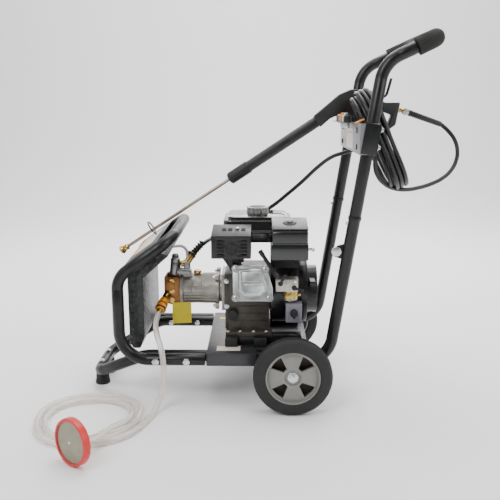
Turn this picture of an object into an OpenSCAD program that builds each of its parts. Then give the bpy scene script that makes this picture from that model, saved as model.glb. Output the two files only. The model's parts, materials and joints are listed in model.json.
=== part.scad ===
// Petrol pressure washer on a two-wheeled tube trolley.
// X runs along the machine from the front guard (-) to the handle (+), Y runs across it, Z is up.
// The pieces are drawn from the wheel axle and then moved so that the origin is at the bottom centre.

/* [Trolley] */
// Diameter over the tyres
wheel_d = 200; // [170:5:240]
// Width of one tyre
tyre_w = 48; // [36:1:56]
// Width over the two tyres
track_w = 506; // [480:2:560]
// Diameter of the frame tubes
tube_d = 30; // [26:1:32]
// Wall of the frame tubes
tube_wall = 2; // [1.5:0.5:3]
// Spacing of the two lower rails, centre to centre
rail_gap = 286; // [250:2:290]
// Spacing of the two uprights, centre to centre
upright_gap = 352; // [336:2:360]
// Height of the joint between frame and handle above the floor
joint_h = 497; // [470:1:540]
// Lean of the uprights from vertical, in degrees
lean = 8.7; // [5:0.1:12]
// Height of the handle crossbar above the floor
handle_h = 922; // [890:1:980]
// Outer diameter of the foam grip
grip_d = 43; // [38:1:50]
// Diameter of the axle
axle_d = 12; // [10:1:14]
// Height of the top of the front guard above the lower rails
guard_h = 319; // [305:1:345]

/* [Deck] */
// Thickness of the folded sheet
sheet_t = 2; // [1.5:0.5:3]
// Depth of the folded side flanges
flange_h = 34; // [20:1:36]
// Length of the engine channels
channel_l = 190; // [180:1:210]
// Height of the engine channels
channel_h = 22; // [20:1:30]

/* [Engine and pump] */
// Height of the crankshaft above the engine's foot
crank_h = 106; // [104:1:112]
// Tilt of the cylinder above horizontal, in degrees
cyl_tilt = 20; // [18:1:24]
// Diameter of the crankshaft
crank_d = 20; // [16:1:22]
// Length of the fuel tank
tank_l = 190; // [170:1:200]
// Diameter of the fuel cap
cap_d = 60; // [48:1:64]
// Diameter of the pump barrel
pump_d = 86; // [74:1:90]

/* [Gun and lance] */
// Slope of the lance below horizontal, in degrees
lance_slope = 33.4; // [33.2:0.1:33.6]
// Diameter of the lance tube
lance_d = 9; // [8:0.5:13]
// Thickness of the gun housing
gun_w = 34; // [28:1:38]
// Radius of the quick-connect socket at the lance's tip
socket_r = 5.9; // [4:0.1:6.5]

/* [Hoses] */
// Outer diameter of the high-pressure hose
pressure_d = 11; // [9:0.5:12]
// Outer diameter of the clear suction hose
suction_d = 15; // [12:0.5:16]
// Diameter of the suction filter
filter_d = 110; // [90:1:110]

/* [Hidden] */
$fn = 48;
fit = 0.3;          // running clearance between pieces that move
seat = 0.2;         // clearance of a fastener in its hole

// Trolley datums
axle_z = wheel_d / 2;
tube_r = tube_d / 2;
rail_z = axle_z + axle_d / 2 + tube_r;          // the rails rest on the axle
rail_y = rail_gap / 2;
up_y = upright_gap / 2;
guard_y = rail_y + tube_d + 0.2;                // guard legs lie against the rails
foot_x = -525;                                  // cross tube at the front
foot_y = 80;
foot_z = 48;
foot_d = 40;                                    // rubber feet
foot_gap = 80;                                  // spacing of the feet, centre to centre
heel_x = 92.4;                                  // corner between rail and upright
joint_x = heel_x + (joint_h - rail_z) * tan(lean);
bore_d = tube_d - 2 * tube_wall;                // bore of the tubes and of the uprights' sockets
socket_l = 90;
plug_d = bore_d - 1;
corner_z = 862 + (handle_h - 922);              // handle corner
corner_x = joint_x + (corner_z - joint_h) * tan(lean);
bar_x = corner_x + 129;
x_front = foot_x - foot_d / 2;
x_rear = bar_x + grip_d / 2;
x_mid = (x_front + x_rear) / 2;
wheel_y = track_w / 2 - tyre_w;                 // inner face of a tyre

// Front guard
guard_x = -444;
guard_end = -225;
guard_elbow = rail_z + 217.5 * guard_h / 319;
guard_top_x = -303;
guard_top = rail_z + guard_h;
guard_angle = atan2(guard_top - guard_elbow, guard_top_x - guard_x);
bolt_x = [-350, -271];

// Deck and engine datums
deck_z = rail_z + tube_r + 0.1;                       // underside of the deck sheet
deck_top = deck_z + sheet_t;
deck_x0 = -221;
deck_x1 = 45;
deck_neck = -92;                                // flanges stop here, ahead of the tyres
foot_h = deck_top + channel_h;                  // the engine stands at this height
ez = foot_h + crank_h;                          // crankshaft height
ex = -178;                                      // pump face of the engine
pump_r = pump_d / 2;
pump_x0 = -303;
pump_x1 = -194;

// Gun and lance datums
lance_y = 50;
lance_x = -169;
lance_z = 563;
lance_dir = [cos(lance_slope), 0, sin(lance_slope)];
function on_lance(s) = [lance_x, lance_y, lance_z] + s * lance_dir;
tip_s = -370;
tip_l = 26;
sleeve_l = 292;
gun_z = 700;

// Accessory panel
nozzle_y = -93;                                 // the first nozzle
nozzle_pitch = 27;
shank_d = 2 * socket_r - 0.2;                   // the nozzles' plugs fit the lance's socket
panel_z0 = 648;
panel_z1 = 722;
function upright_x(z) = heel_x + (z - rail_z) * tan(lean);
panel_x = upright_x(panel_z1) - tube_r / cos(lean) - sheet_t - 14;

// Hose coil, an oval ring hung on the hook
coil_c = [220, -60, 676];
coil_lean = 24;
coil_h = 254;                                   // centre-line height
coil_w = 140;                                   // centre-line width
coil_t = 66;
coil_r = 22;

// Route of the high-pressure hose from the pump to the coil
pump_route = [[-266, 0, 366], [-252, 8, 380], [-235, 26, 390], [-222, 56, 394], [-208, 92, 399],
    [-182, 126, 409], [-140, 140, 426], [-92, 144, 448], [-48, 138, 475], [-6, 124, 511],
    [38, 107, 552], [80, 94, 594], [116, 84, 622], [150, 68, 636], [178, 44, 648], [196, 22, 668],
    [202, 14, 692]];
// Route of the high-pressure hose from the gun to the coil
gun_route = [[406, 47, 713], [424, 40, 696], [440, 30, 673], [446, 18, 645], [440, 4, 618],
    [424, -10, 594], [399, -24, 575], [366, -36, 561], [330, -47, 552], [294, -60, 549],
    [262, -76, 554], [234, -95, 568], [213, -112, 590], [203, -124, 616], [202, -129, 642]];
// Route of the clear suction hose from the inlet down to the floor, round twice and to the filter
suction = [[-354, -94, 221], [-357, -124, 202], [-350, -153, 180], [-337, -180, 155],
    [-329, -200, 126], [-327, -209, 92], [-331, -214, 58], [-339, -221, 30], [-348, -240, 12],
    [-358, -276, 8], [-372, -322, 8], [-395, -364, 8], [-432, -394, 8], [-478, -409, 8],
    [-526, -411, 8], [-570, -396, 8], [-603, -364, 8], [-622, -320, 8], [-632, -270, 8],
    [-626, -222, 8], [-600, -182, 8], [-558, -158, 8], [-508, -149, 8], [-460, -153, 8],
    [-418, -176, 8], [-392, -214, 8], [-384, -262, 8], [-389, -308, 8], [-411, -348, 8],
    [-448, -379, 8], [-494, -391, 8], [-540, -384, 8], [-578, -357, 8], [-603, -315, 8],
    [-611, -266, 8], [-597, -218, 8], [-560, -188, 8], [-514, -176, 8], [-468, -179, 8],
    [-429, -203, 8], [-407, -242, 8], [-405, -286, 10], [-417, -332, 20], [-436, -376, 27],
    [-451, -412, 30], [-463, -444, 40], [-474, -466, 50]];

// ---- helpers ----

function unit(v) = v / norm(v);
function side(d) = abs(d[2]) < 0.95 ? unit(cross([0, 0, 1], d)) : unit(cross([1, 0, 0], d));

// Children drawn along +Z are placed at p and pointed along d
module along(p, d) {
    w = unit(d);
    u = side(w);
    v = cross(w, u);
    multmatrix([[u[0], v[0], w[0], p[0]], [u[1], v[1], w[1], p[1]], [u[2], v[2], w[2], p[2]], [0, 0, 0, 1]])
        children();
}

module rod(a, b, d) along(a, b - a) cylinder(h = norm(b - a), d = d);

// One bend of radius r that joins the directions a and b at the corner c
module elbow(c, a, b, r, d) {
    turn = acos(a * b);
    x = unit(cross(cross(a, b), a));
    o = c - a * r * tan(turn / 2) + x * r;
    z = unit(cross(a, b));
    multmatrix([[-x[0], a[0], z[0], o[0]], [-x[1], a[1], z[1], o[1]], [-x[2], a[2], z[2], o[2]], [0, 0, 0, 1]])
        rotate_extrude(angle = turn) translate([r, 0]) circle(d = d);
}

function bend_cut(p, r, i) = i == 0 || i == len(p) - 1 ? 0 :
    r[i] * tan(acos(unit(p[i] - p[i - 1]) * unit(p[i + 1] - p[i])) / 2);

// Round bar or tube blank that follows the corners p with the bend radii r.
// A straight runs a little way over its neighbouring bends and is a hair thicker, so they join cleanly.
lap = 0.6;
module bent(p, r, d) {
    for (i = [0 : len(p) - 2]) {
        w = unit(p[i + 1] - p[i]);
        rod(p[i] + w * (bend_cut(p, r, i) - (i == 0 ? 0 : lap)),
            p[i + 1] - w * (bend_cut(p, r, i + 1) - (i == len(p) - 2 ? 0 : lap)), d + 0.1);
    }
    for (i = [1 : len(p) - 2])
        elbow(p[i], unit(p[i] - p[i - 1]), unit(p[i + 1] - p[i]), r[i], d);
}

// Box with rounded vertical edges
module block(size, r) {
    translate([r, 0, 0]) cube([size[0] - 2 * r, size[1], size[2]]);
    translate([0, r, 0]) cube([size[0], size[1] - 2 * r, size[2]]);
    for (x = [r, size[0] - r], y = [r, size[1] - r]) translate([x, y, 0]) cylinder(h = size[2], r = r);
}

// A path of one side, carried over to the other side
function across(p) = concat(p, [for (i = [len(p) - 1 : -1 : 0]) [p[i][0], -p[i][1], p[i][2]]]);
function back_and_forth(r) = concat(r, [for (i = [len(r) - 1 : -1 : 0]) r[i]]);

module both() {
    children();
    mirror([0, 1, 0]) children();
}

// Swept hose: one ring of corners at every point of the route
module hose(route, d, n) {
    last = len(route) - 1;
    function tangent(i) = unit(route[min(i + 1, last)] - route[max(i - 1, 0)]);
    rings = [for (i = [0 : last]) let (w = tangent(i), u = side(w), v = cross(w, u))
        for (k = [0 : n - 1]) route[i] + d / 2 * (cos(360 * k / n) * u + sin(360 * k / n) * v)];
    walls = [for (i = [0 : last - 1], k = [0 : n - 1]) let (a = i * n + k, b = i * n + (k + 1) % n)
        each [[a, a + n, b], [b, a + n, b + n]]];
    start = [for (k = [0 : n - 1]) k];
    finish = [for (k = [n - 1 : -1 : 0]) last * n + k];
    polyhedron(rings, concat(walls, [start, finish]));
}

// Hexagon bolt head, along +Z from its seat
module hex_head(af, h) cylinder(h = h, d = af / cos(30), $fn = 6);

// ---- trolley ----

frame_path = [[joint_x, up_y, joint_h], [heel_x, up_y, rail_z], [20, up_y, rail_z],
    [-60, rail_y, rail_z], [-385, rail_y, rail_z], [foot_x, foot_y, foot_z]];
frame_bends = [0, 70, 60, 60, 60, 42];
module frame_bar() bent(across(frame_path), back_and_forth(frame_bends), tube_d);
pin_z = joint_h - 19;

module main_frame() color("#1d1d1f") difference() {
    union() {
        frame_bar();
        // collar at the top of each upright
        both() along([joint_x, up_y, joint_h] - 8 * unit([tan(lean), 0, 1]), [tan(lean), 0, 1])
            cylinder(h = 8, d = tube_d + 3);
        // saddle plates that carry the axle
        both() translate([-22, rail_y + 24, axle_z - axle_d / 2 - 8])
            cube([44, 5, rail_z - axle_z + axle_d / 2 + 8]);
        // bracket welded on the near upright
        translate([0, -up_y + 3, 0]) rotate([90, 0, 0]) linear_extrude(6)
            polygon([[100, 397], [108, 424], [132, 430], [140, 428], [138, 384]]);
    }
    bent(across(frame_path), back_and_forth(frame_bends), bore_d);
    both() along([joint_x, up_y, joint_h] + 2 * unit([tan(lean), 0, 1]), -[tan(lean), 0, 1])
        cylinder(h = socket_l + 4, d = bore_d + 0.2);
    for (x = bolt_x) both() translate([x, rail_y - tube_d, rail_z]) rotate([-90, 0, 0])
        cylinder(h = 2 * tube_d, d = 8 + 2 * seat);
    both() translate([0, rail_y + 20, axle_z]) rotate([-90, 0, 0]) cylinder(h = 14, d = axle_d + 2 * seat);
    // holes for the snap buttons, on the front of each upright
    both() along([upright_x(pin_z), up_y, pin_z], [-1, 0, tan(lean)]) cylinder(h = tube_d, d = 8 + 2 * fit);
    // hole for the bracket's bolt
    translate([106, -up_y + 10, 410]) rotate([90, 0, 0]) cylinder(h = 20, d = 8 + 2 * seat);
    // holes for the feet's bolts
    for (s = [-1, 1]) translate([foot_x, s * foot_gap / 2, 0]) cylinder(h = 2 * foot_z, d = 6 + 2 * seat);
}

guard_path = [[guard_end, guard_y, rail_z], [guard_x, guard_y, rail_z], [guard_x, guard_y, guard_elbow],
    [guard_top_x, guard_y, guard_top]];

guard_bends = back_and_forth([0, 75, 60, 60]);
module front_guard() color("#1d1d1f") difference() {
    bent(across(guard_path), guard_bends, tube_d);
    bent(across(guard_path), guard_bends, bore_d);
    for (x = bolt_x) both() translate([x, rail_y, rail_z]) rotate([-90, 0, 0])
        cylinder(h = 2 * tube_d, d = 8 + 2 * seat);
}

handle_low = [joint_x, up_y, joint_h];
handle_path = [handle_low, [corner_x, up_y, corner_z], [bar_x, up_y, handle_h]];
handle_bends = back_and_forth([0, 75, 55]);

module handle_tube() color("#1d1d1f") difference() {
    union() {
        difference() {
            bent(across(handle_path), handle_bends, tube_d);
            bent(across(handle_path), handle_bends, bore_d);
        }
        // swaged ends that slide into the uprights
        both() along(handle_low + [tan(lean), 0, 1], -[tan(lean), 0, 1]) cylinder(h = socket_l - 9, d = plug_d);
        both() along(handle_low, [tan(lean), 0, 1]) cylinder(h = 8, d = tube_d - tube_wall);
    }
    both() along(handle_low + 10 * unit([tan(lean), 0, 1]), -[tan(lean), 0, 1])
        cylinder(h = socket_l + 10, d = plug_d - 2 * tube_wall);
    both() along([upright_x(pin_z), up_y, pin_z], [-1, 0, tan(lean)]) {
        translate([0, 0, 3]) cylinder(h = tube_d, d = 8 + 2 * fit);
        translate([0, 0, -7]) cylinder(h = 10.1, d = 10 + 2 * fit);
    }
}

// Foam sleeve over the crossbar and its two bends
grip_slope = unit([bar_x - corner_x, 0, handle_h - corner_z]);
grip_start = [corner_x, up_y, corner_z] + 84 * grip_slope;
module grip_bar(start, d) bent(across([start, [bar_x, up_y, handle_h]]), [0, 55, 55, 0], d);
module handle_grip() color("#2b2b2d") difference() {
    grip_bar(grip_start, grip_d);
    grip_bar(grip_start - 2 * grip_slope, tube_d + 0.1);
}

module frame_feet() color("#151515") difference() {
    for (s = [-1, 1]) translate([foot_x, s * foot_gap / 2, 0]) difference() {
        union() {
            cylinder(h = foot_z - tube_r + 6, d1 = foot_d - 2, d2 = foot_d - 6);
            cylinder(h = 8, d = foot_d);
        }
        translate([0, 0, 14]) cylinder(h = foot_z, d = 17);
    }
    translate([foot_x, -120, foot_z]) rotate([-90, 0, 0]) cylinder(h = 240, d = tube_d + 1.2);
}

// Zinc bolts of the guard, the feet, the bracket and the hub nuts of both wheels
module fasteners() color("silver") {
    for (x = bolt_x) both() translate([x, guard_y + tube_r + 0.1, rail_z]) rotate([-90, 0, 0]) {
        hex_head(17, 6);
        translate([0, 0, -2 * tube_d - 6]) cylinder(h = 2 * tube_d + 6.01, d = 8);
        translate([0, 0, -2 * tube_d - 7.5]) hex_head(14, 7);
    }
    for (s = [-1, 1]) translate([foot_x, s * foot_gap / 2, foot_z]) {
        translate([0, 0, -tube_r - 6]) cylinder(h = tube_d + 6.2, d = 6);
        translate([0, 0, tube_r + 0.1]) hex_head(13, 5);
        translate([0, 0, -tube_r - 6.1]) hex_head(13, 6);
    }
    both() translate([0, track_w / 2 - 17, axle_z]) rotate([-90, 0, 0]) difference() {
        hex_head(19, 9);
        translate([0, 0, -1]) cylinder(h = 12, d = axle_d);
    }
    // stud with a large round head on the near bracket
    translate([106, -up_y - 3, 410]) rotate([90, 0, 0]) {
        cylinder(h = 5, d = 24);
        translate([0, 0, -14]) cylinder(h = 14.01, d = 8);
        translate([0, 0, -14]) hex_head(13, 8);
    }
}

module front_plate() color("#262628") {
    slope = [cos(guard_angle), 0, sin(guard_angle)];
    lift = [-sin(guard_angle), 0, cos(guard_angle)];
    low = [guard_x, 0, guard_elbow] + 34 * slope;
    translate(low + (tube_r - 2.9) * lift) rotate([0, -guard_angle, 0])
        translate([0, -guard_y + tube_r - 3, 0]) cube([96, 2 * guard_y - tube_d + 6, 3]);
}

module engine_deck() color("#2f3033") difference() {
    union() {
        translate([deck_x0, -rail_y - tube_d - sheet_t, deck_z])
            cube([deck_neck - deck_x0, 2 * (rail_y + tube_d + sheet_t), sheet_t]);
        translate([deck_neck, -rail_y, deck_z]) cube([deck_x1 - deck_neck, 2 * rail_y, sheet_t]);
        both() translate([deck_x0, rail_y + tube_d, deck_top - flange_h])
            cube([deck_neck - deck_x0, sheet_t, flange_h]);
    }
    for (x = [-140, 10]) both() translate([x, 81, deck_z - 1]) cylinder(h = sheet_t + 2, d = 8 + 2 * seat);
}

module engine_rails() color("#1a1a1b") for (s = [-1, 1]) difference() {
    translate([-162, s * 81 - 24, deck_top]) cube([channel_l, 48, channel_h]);
    translate([-163, s * 81 - 21, deck_top - 1]) cube([channel_l + 2, 42, channel_h - 2]);
    for (x = [-140, 10]) translate([x, s * 81, deck_top]) cylinder(h = channel_h + 2, d = 8 + 2 * seat);
}

module axle() color("silver") translate([0, -track_w / 2 + 6, axle_z]) rotate([-90, 0, 0])
    cylinder(h = track_w - 12, d = axle_d);

// ---- wheels, drawn round Z with the outer face up ----

rim_r = wheel_d * 0.345;
module on_axle(side) translate([0, side * wheel_y, axle_z]) rotate([side > 0 ? -90 : 90, 0, 0]) children();

module tyre() color("#1b1c1d") rotate_extrude() difference() {
    polygon([[rim_r, 4], [rim_r + 8, 0], [axle_z - 8, 3], [axle_z - 1.5, 10], [axle_z, tyre_w / 2],
        [axle_z - 1.5, tyre_w - 10], [axle_z - 8, tyre_w - 3], [rim_r + 8, tyre_w], [rim_r, tyre_w - 4]]);
    for (z = [tyre_w * 0.32, tyre_w * 0.5, tyre_w * 0.68]) translate([axle_z, z]) circle(r = 2.2, $fn = 24);
}

module tyre_near() on_axle(-1) tyre();
module tyre_far() on_axle(1) tyre();
module rim_near() on_axle(-1) rim();
module rim_far() on_axle(1) rim();

module rim() color("#8b8d8c") difference() {
    union() {
        difference() {
            cylinder(h = tyre_w - 5, r = rim_r);
            translate([0, 0, tyre_w - 12]) cylinder(h = 20, r = rim_r - 4);
            translate([0, 0, -1]) cylinder(h = tyre_w - 20, r = rim_r - 4);
        }
        cylinder(h = tyre_w - 15, d = 40);
    }
    translate([0, 0, -1]) cylinder(h = tyre_w, d = axle_d + 2 * fit);
    translate([0, 0, tyre_w - 17.3]) cylinder(h = 20, d = 24);
    for (i = [0 : 3]) rotate(90 * i + 48) linear_extrude(tyre_w)
        polygon([[26, -6], [rim_r - 9, -20], [rim_r - 6, 0], [rim_r - 9, 20], [26, 6]]);
}

// ---- handle gear ----

module wire_hooks() color("#161616") {
    // hose hook: a bent rod that rises behind the uprights
    bent([[panel_x + sheet_t + 3.6, -60, 700], [192, -60, 758], [236, -60, 790], [246, -60, 830]], [0, 14, 10, 0], 7);
    // lance rest: a ring on a short leg, with the lance near the ring's lower edge
    across_lance = [-lance_dir[2], 0, lance_dir[0]];
    c = on_lance(-258) + 7 * across_lance;
    along(c, lance_dir) rotate_extrude() translate([18, 0]) circle(d = 4, $fn = 24);
    rod(c - 18.6 * across_lance, c - 25.5 * across_lance, 4.6);
}

module accessory_panel() color("#3a3b3d") difference() {
    web_h = panel_z1 - panel_z0;
    union() {
        translate([panel_x, -up_y - tube_r - 3, panel_z0]) cube([sheet_t, 2 * up_y + tube_d + 6, web_h]);
        translate([panel_x - 34, -100, panel_z1 - sheet_t]) cube([36, 220, sheet_t]);
        // cheeks that lean with the uprights
        both() translate([0, up_y + tube_r + 1 + sheet_t, 0]) rotate([90, 0, 0]) linear_extrude(sheet_t)
            polygon([[panel_x, panel_z0], [panel_x, panel_z1], [upright_x(panel_z1) + tube_r, panel_z1],
                [upright_x(panel_z0) + tube_r, panel_z0]]);
        // cradle under the gun
        translate([panel_x - 30, lance_y - 12, panel_z1 - 1]) cube([28, 24, 16]);
    }
    for (i = [0 : 4]) translate([panel_x - 18, nozzle_y + nozzle_pitch * i, panel_z1 - 10])
        cylinder(h = 20, d = shank_d + 2 * fit);
    for (z = [panel_z0 + 14, panel_z1 - 14]) both() translate([upright_x(z) + 4, up_y, z]) rotate([-90, 0, 0])
        cylinder(h = 40, d = 6);
}

// Five quick-connect nozzles that stand in the shelf
module spray_nozzles() for (i = [0 : 4])
    color(["#1a1a1a", "#e9e9e4", "#3f8a3f", "#d8a21c", "#b5322b"][i])
        translate([panel_x - 18, nozzle_y + nozzle_pitch * i, panel_z1]) {
            cylinder(h = 17, d = 20);
            translate([0, 0, -15]) cylinder(h = 15.01, d = shank_d);
            translate([0, 0, 16.9]) cylinder(h = 6, d1 = 14, d2 = 9);
        }

// ---- engine, drawn from the crankshaft at the pump face ----

module engine() translate([ex, 0, ez]) children();
module cyl_axis(d) translate([76, 0, 0]) rotate([90 - cyl_tilt, 0, 0]) translate([0, 0, d]) children();
module shaft_bore(x0, x1, d) translate([x0, 0, 0]) rotate([0, 90, 0]) cylinder(h = x1 - x0, d = d);
head_d = 96;
cover_d = 148;
belly = [10, -78, -crank_h];

module crankcase() color("#4a4946") engine() difference() {
    union() {
        translate(belly) cube([110, 160, crank_h + 60]);
        translate([4, -104, -crank_h]) cube([122, 208, 12]);
        cyl_axis(40) cylinder(h = head_d - 40, d = 78);
    }
    translate([9, -64, -crank_h + 16]) cube([101, 132, crank_h + 30]);
    cyl_axis(0) cylinder(h = head_d + 1, d = 62);
    shaft_bore(100, 130, crank_d + 2 * fit);
    for (x = [-140 - ex, 10 - ex], s = [-1, 1]) translate([x, s * 81, -crank_h - 1])
        cylinder(h = 14, d = 8 + 2 * seat);
    for (s = [-1, 1]) translate([23, s > 0 ? 60 : -79, -50]) rotate([-90, 0, 0]) cylinder(h = 24, d = 14 + 2 * seat);
}

module side_cover() color("#55534f") engine() difference() {
    union() {
        translate([2, -78, -crank_h + 14]) cube([8, 160, crank_h + 44]);
        shaft_bore(0, 2.5, 90);
    }
    shaft_bore(-1, 12, crank_d + 2 * fit);
}

module cylinder_head() color("#77756f") engine() cyl_axis(head_d) difference() {
    union() {
        cylinder(h = cover_d - head_d, d = 74);
        for (z = [0 : 8 : 48]) translate([-46, -42, z]) cube([92, 84, 3]);
    }
    translate([0, 0, -1]) cylinder(h = 12, d = 62);
}

cover_outline = [[-50, -40], [-44, -47], [42, -47], [52, -38], [52, -14], [36, 40], [28, 46], [-46, 46], [-52, 40]];
module valve_cover() color("#b9bdbf") engine() cyl_axis(cover_d) difference() {
    union() {
        linear_extrude(5) polygon(cover_outline);
        linear_extrude(24) polygon([[-34, -18], [-18, -34], [18, -34], [34, -18], [34, -4], [20, 33], [-32, 33], [-36, 28]]);
    }
    translate([0, 0, -1]) linear_extrude(22) polygon([[-28, -16], [-16, -28], [16, -28], [28, -16], [16, 28], [-28, 28]]);
}

guard_x0 = -29;
guard_l = 101;
function guard_box(g) = [[-28 - 122 + g, 117 + g], [-28 - 122 + g, 176 - g], [-62 + 2 - g, 190 - g], [-60 - g, 117 + g]];
module yz_prism(x, l, outline) translate([x, 0, 0]) rotate([90, 0, 90]) linear_extrude(l) polygon(outline);

module muffler() color("#5f5b57") engine() difference() {
    union() {
        yz_prism(guard_x0 + 12, guard_l - 24, guard_box(8));
        translate([40, -88, 96]) cylinder(h = 30, d = 26);
    }
    yz_prism(guard_x0 + 14, guard_l - 28, guard_box(10));
    translate([40, -88, 95]) cylinder(h = 40, d = 21);
}

module muffler_guard() color("#232324") engine() difference() {
    yz_prism(guard_x0, guard_l, guard_box(0));
    yz_prism(guard_x0 + 2, guard_l - 4, guard_box(2));
    translate([40, -88, 90]) cylinder(h = 30, d = 30);
    for (x = [guard_x0 + 16, guard_x0 + 75], z = [126 : 9 : 164]) translate([x, -155, z]) cube([16, 10, 3.5]);
}

cleaner = [[-150, 112], [-150, 184], [-142, 192], [-60, 206], [-60, 112]];
module air_cleaner() color("#2a2a2b") engine() difference() {
    yz_prism(126, 90, cleaner);
    yz_prism(129, 84, [[-147, 115], [-147, 183], [-141, 189], [-63, 203], [-63, 115]]);
}

tank_x0 = -7;
tank_top = 204;
module fuel_tank() color("#222324") engine() difference() {
    union() {
        translate([tank_x0, -42, 137]) block([tank_l, 158, 30], 20);
        translate([tank_x0 - 3, -45, 163]) block([tank_l + 6, 164, 6], 22);
        translate([tank_x0 + 3, -39, 168.9]) block([tank_l - 6, 152, 26], 22);
        translate([tank_x0 + 14, -28, 194.8]) block([tank_l - 28, 130, tank_top - 194.8], 24);
        translate([tank_x0 + tank_l / 2, 30, tank_top - 0.1]) cylinder(h = 5, d = cap_d - 14);
    }
    translate([tank_x0 + 6, -36, 141]) block([tank_l - 12, 146, 50], 22);
    translate([tank_x0 + tank_l / 2, 30, 150]) cylinder(h = 70, d = cap_d - 22);
}

module fuel_cap() color("#3a3a3a") engine() translate([tank_x0 + tank_l / 2, 30, tank_top + fit]) difference() {
    cylinder(h = 20, d = cap_d);
    translate([0, 0, -1]) cylinder(h = 7, d = cap_d - 13);
    for (i = [0 : 17]) rotate(20 * i) translate([cap_d / 2 + 1, 0, 6]) cylinder(h = 20, d = 5, $fn = 16);
}

module carburetor() color("#9a9890") engine() {
    translate([136, -130, 26]) cube([58, 36, 32]);
    translate([175, -112, 1]) cylinder(h = 25.01, d = 36);
    translate([175, -112, -6]) cylinder(h = 7.01, d = 12);
}

blower_x0 = 124;
blower_r = 92;
module blower_housing() color("#202021") engine() difference() {
    union() {
        shaft_bore(blower_x0, 200, 2 * blower_r);
        translate([blower_x0, -58, 60]) cube([76, 140, 74]);
        translate([180, -52, 90]) cube([38, 4, 40]);
    }
    shaft_bore(blower_x0 + 3, 201, 2 * blower_r - 7);
    shaft_bore(blower_x0 - 1, 130, 60);
    translate([blower_x0 + 3, -55, 60]) cube([70, 134, 71]);
    translate([212, -60, 122]) rotate([-90, 0, 0]) cylinder(h = 20, d = 5 + 2 * fit);
}

module recoil_cover() color("#262627") engine() difference() {
    union() {
        shaft_bore(200, 222, 2 * blower_r - 2);
        shaft_bore(221.9, 250, 130);
        translate([228, -88, 28]) cube([14, 40, 14]);
    }
    shaft_bore(199, 219, 2 * blower_r - 10);
    shaft_bore(218, 247, 122);
    for (i = [0 : 11]) rotate([30 * i, 0, 0]) translate([215, 0, 76]) rotate([0, 90, 0]) cylinder(h = 10, d = 14, $fn = 24);
}

module spark_plug_cap() color("#171717") engine() rod([94, -126, 134], [140, -138, 66], 11);

module flywheel() color("#6a6c6e") engine() difference() {
    union() {
        shaft_bore(150, 164, 168);
        shaft_bore(142, 190, 44);
        for (i = [0 : 11]) rotate([30 * i, 0, 0]) translate([163.9, -2, 52]) cube([20, 4, 32]);
    }
    shaft_bore(141, 191, crank_d);
}

module crankshaft() color("silver") engine() {
    shaft_bore(-46, 34, crank_d);
    shaft_bore(33.9, 46, 70);
    translate([0, 0, -24]) shaft_bore(45.9, 74, 22);
    shaft_bore(73.9, 86, 70);
    shaft_bore(85.9, 196, crank_d);
}

// ---- controls ----

module throttle_lever() color("#8f9090") engine() difference() {
    union() {
        translate([212, -56.5, 122]) rotate([-90, 0, 0]) cylinder(h = 4, d = 14);
        translate([212, -56.5, 118]) cube([24, 4, 8]);
        translate([236, -62, 122]) rotate([-90, 0, 0]) cylinder(h = 14, d = 10);
        translate([212, -53, 122]) rotate([-90, 0, 0]) cylinder(h = 8, d = 5);
    }
    translate([236, -62.5, 122]) rotate([-90, 0, 0]) cylinder(h = 2, d = 5);
}

module lever(x, z, turn, l) translate([x, -130 - fit, z]) rotate([90, turn, 0]) {
    cylinder(h = 4, d = 13);
    translate([0, -3, 0]) cube([l, 6, 4]);
    translate([l, 0, 0]) cylinder(h = 8, d = 9);
}

module choke_lever() color("#1c1c1c") engine() lever(148, 48, 300, 24);
module fuel_lever() color("#1c1c1c") engine() lever(184, 36, 20, 22);

module switch_box() color("#5b5a61") engine() difference() {
    translate([163, -130, -58]) cube([42, 36, 50]);
    translate([184, -131, -32]) rotate([-90, 0, 0]) cylinder(h = 12, d = 10 + 2 * fit);
}

module engine_switch() color("#b3262a") engine() translate([184, -130 - fit, -32]) rotate([90, 0, 0]) {
    cylinder(h = 8, d = 20);
    translate([0, 0, -9]) cylinder(h = 9.01, d = 10);
    translate([-3, -11, 7.9]) cube([6, 22, 7]);
}

module oil_caps() color("#161616") engine() for (s = [-1, 1])
    translate([23, s > 0 ? 82 : -78, -50]) rotate([s > 0 ? -90 : 90, 0, 0]) {
        cylinder(h = 14, d = 26);
        translate([0, 0, -12]) cylinder(h = 12.01, d = 14);
    }

// ---- pump ----

module pump_adapter() color("#8a8880") engine() difference() {
    union() {
        translate([-9, -50, -50]) cube([9, 100, 100]);
        shaft_bore(-16, -8.9, 76);
    }
    shaft_bore(-17, 1, 40);
}

pump_l = pump_x1 - pump_x0;
module pump_body() color("#85827a") difference() {
    // barrel with cooling grooves round its drive end, drawn round the shaft
    translate([pump_x0, 0, ez]) rotate([0, 90, 0]) rotate_extrude() difference() {
        square([pump_r, pump_l]);
        translate([-1, 55]) square([21, pump_l]);
        for (i = [0 : 3]) translate([pump_r - 5, 60 + 12 * i]) square([6, 5]);
    }
    translate([pump_x0 + 47, 0, ez + pump_r - 8]) cylinder(h = 20, d = 12 + 2 * seat);
}

module pump_head() color("#b07b3c") difference() {
    union() {
        translate([pump_x0 - 42, -33, ez - 37]) cube([42, 66, 74]);
        translate([pump_x0 - 20, 0, ez - 44]) cylinder(h = 88, d = 34);
        translate([pump_x0 - 26, -40, ez + 14]) rotate([-90, 0, 0]) cylinder(h = 80, d = 26);
    }
    translate([pump_x0 - 12, -15, ez + 30]) cylinder(h = 40, d = 20 + 2 * seat);
}

module unloader_valve() color("#77777a") translate([pump_x0 - 12, -15, ez + 44]) {
    cylinder(h = 42, d = 27);
    translate([0, 0, -13.8]) cylinder(h = 14, d = 20);
    translate([0, 0, 41.9]) cylinder(h = 10, d = 20);
    translate([0, 0, 51.8]) cylinder(h = 4, d1 = 20, d2 = 14);
}

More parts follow.
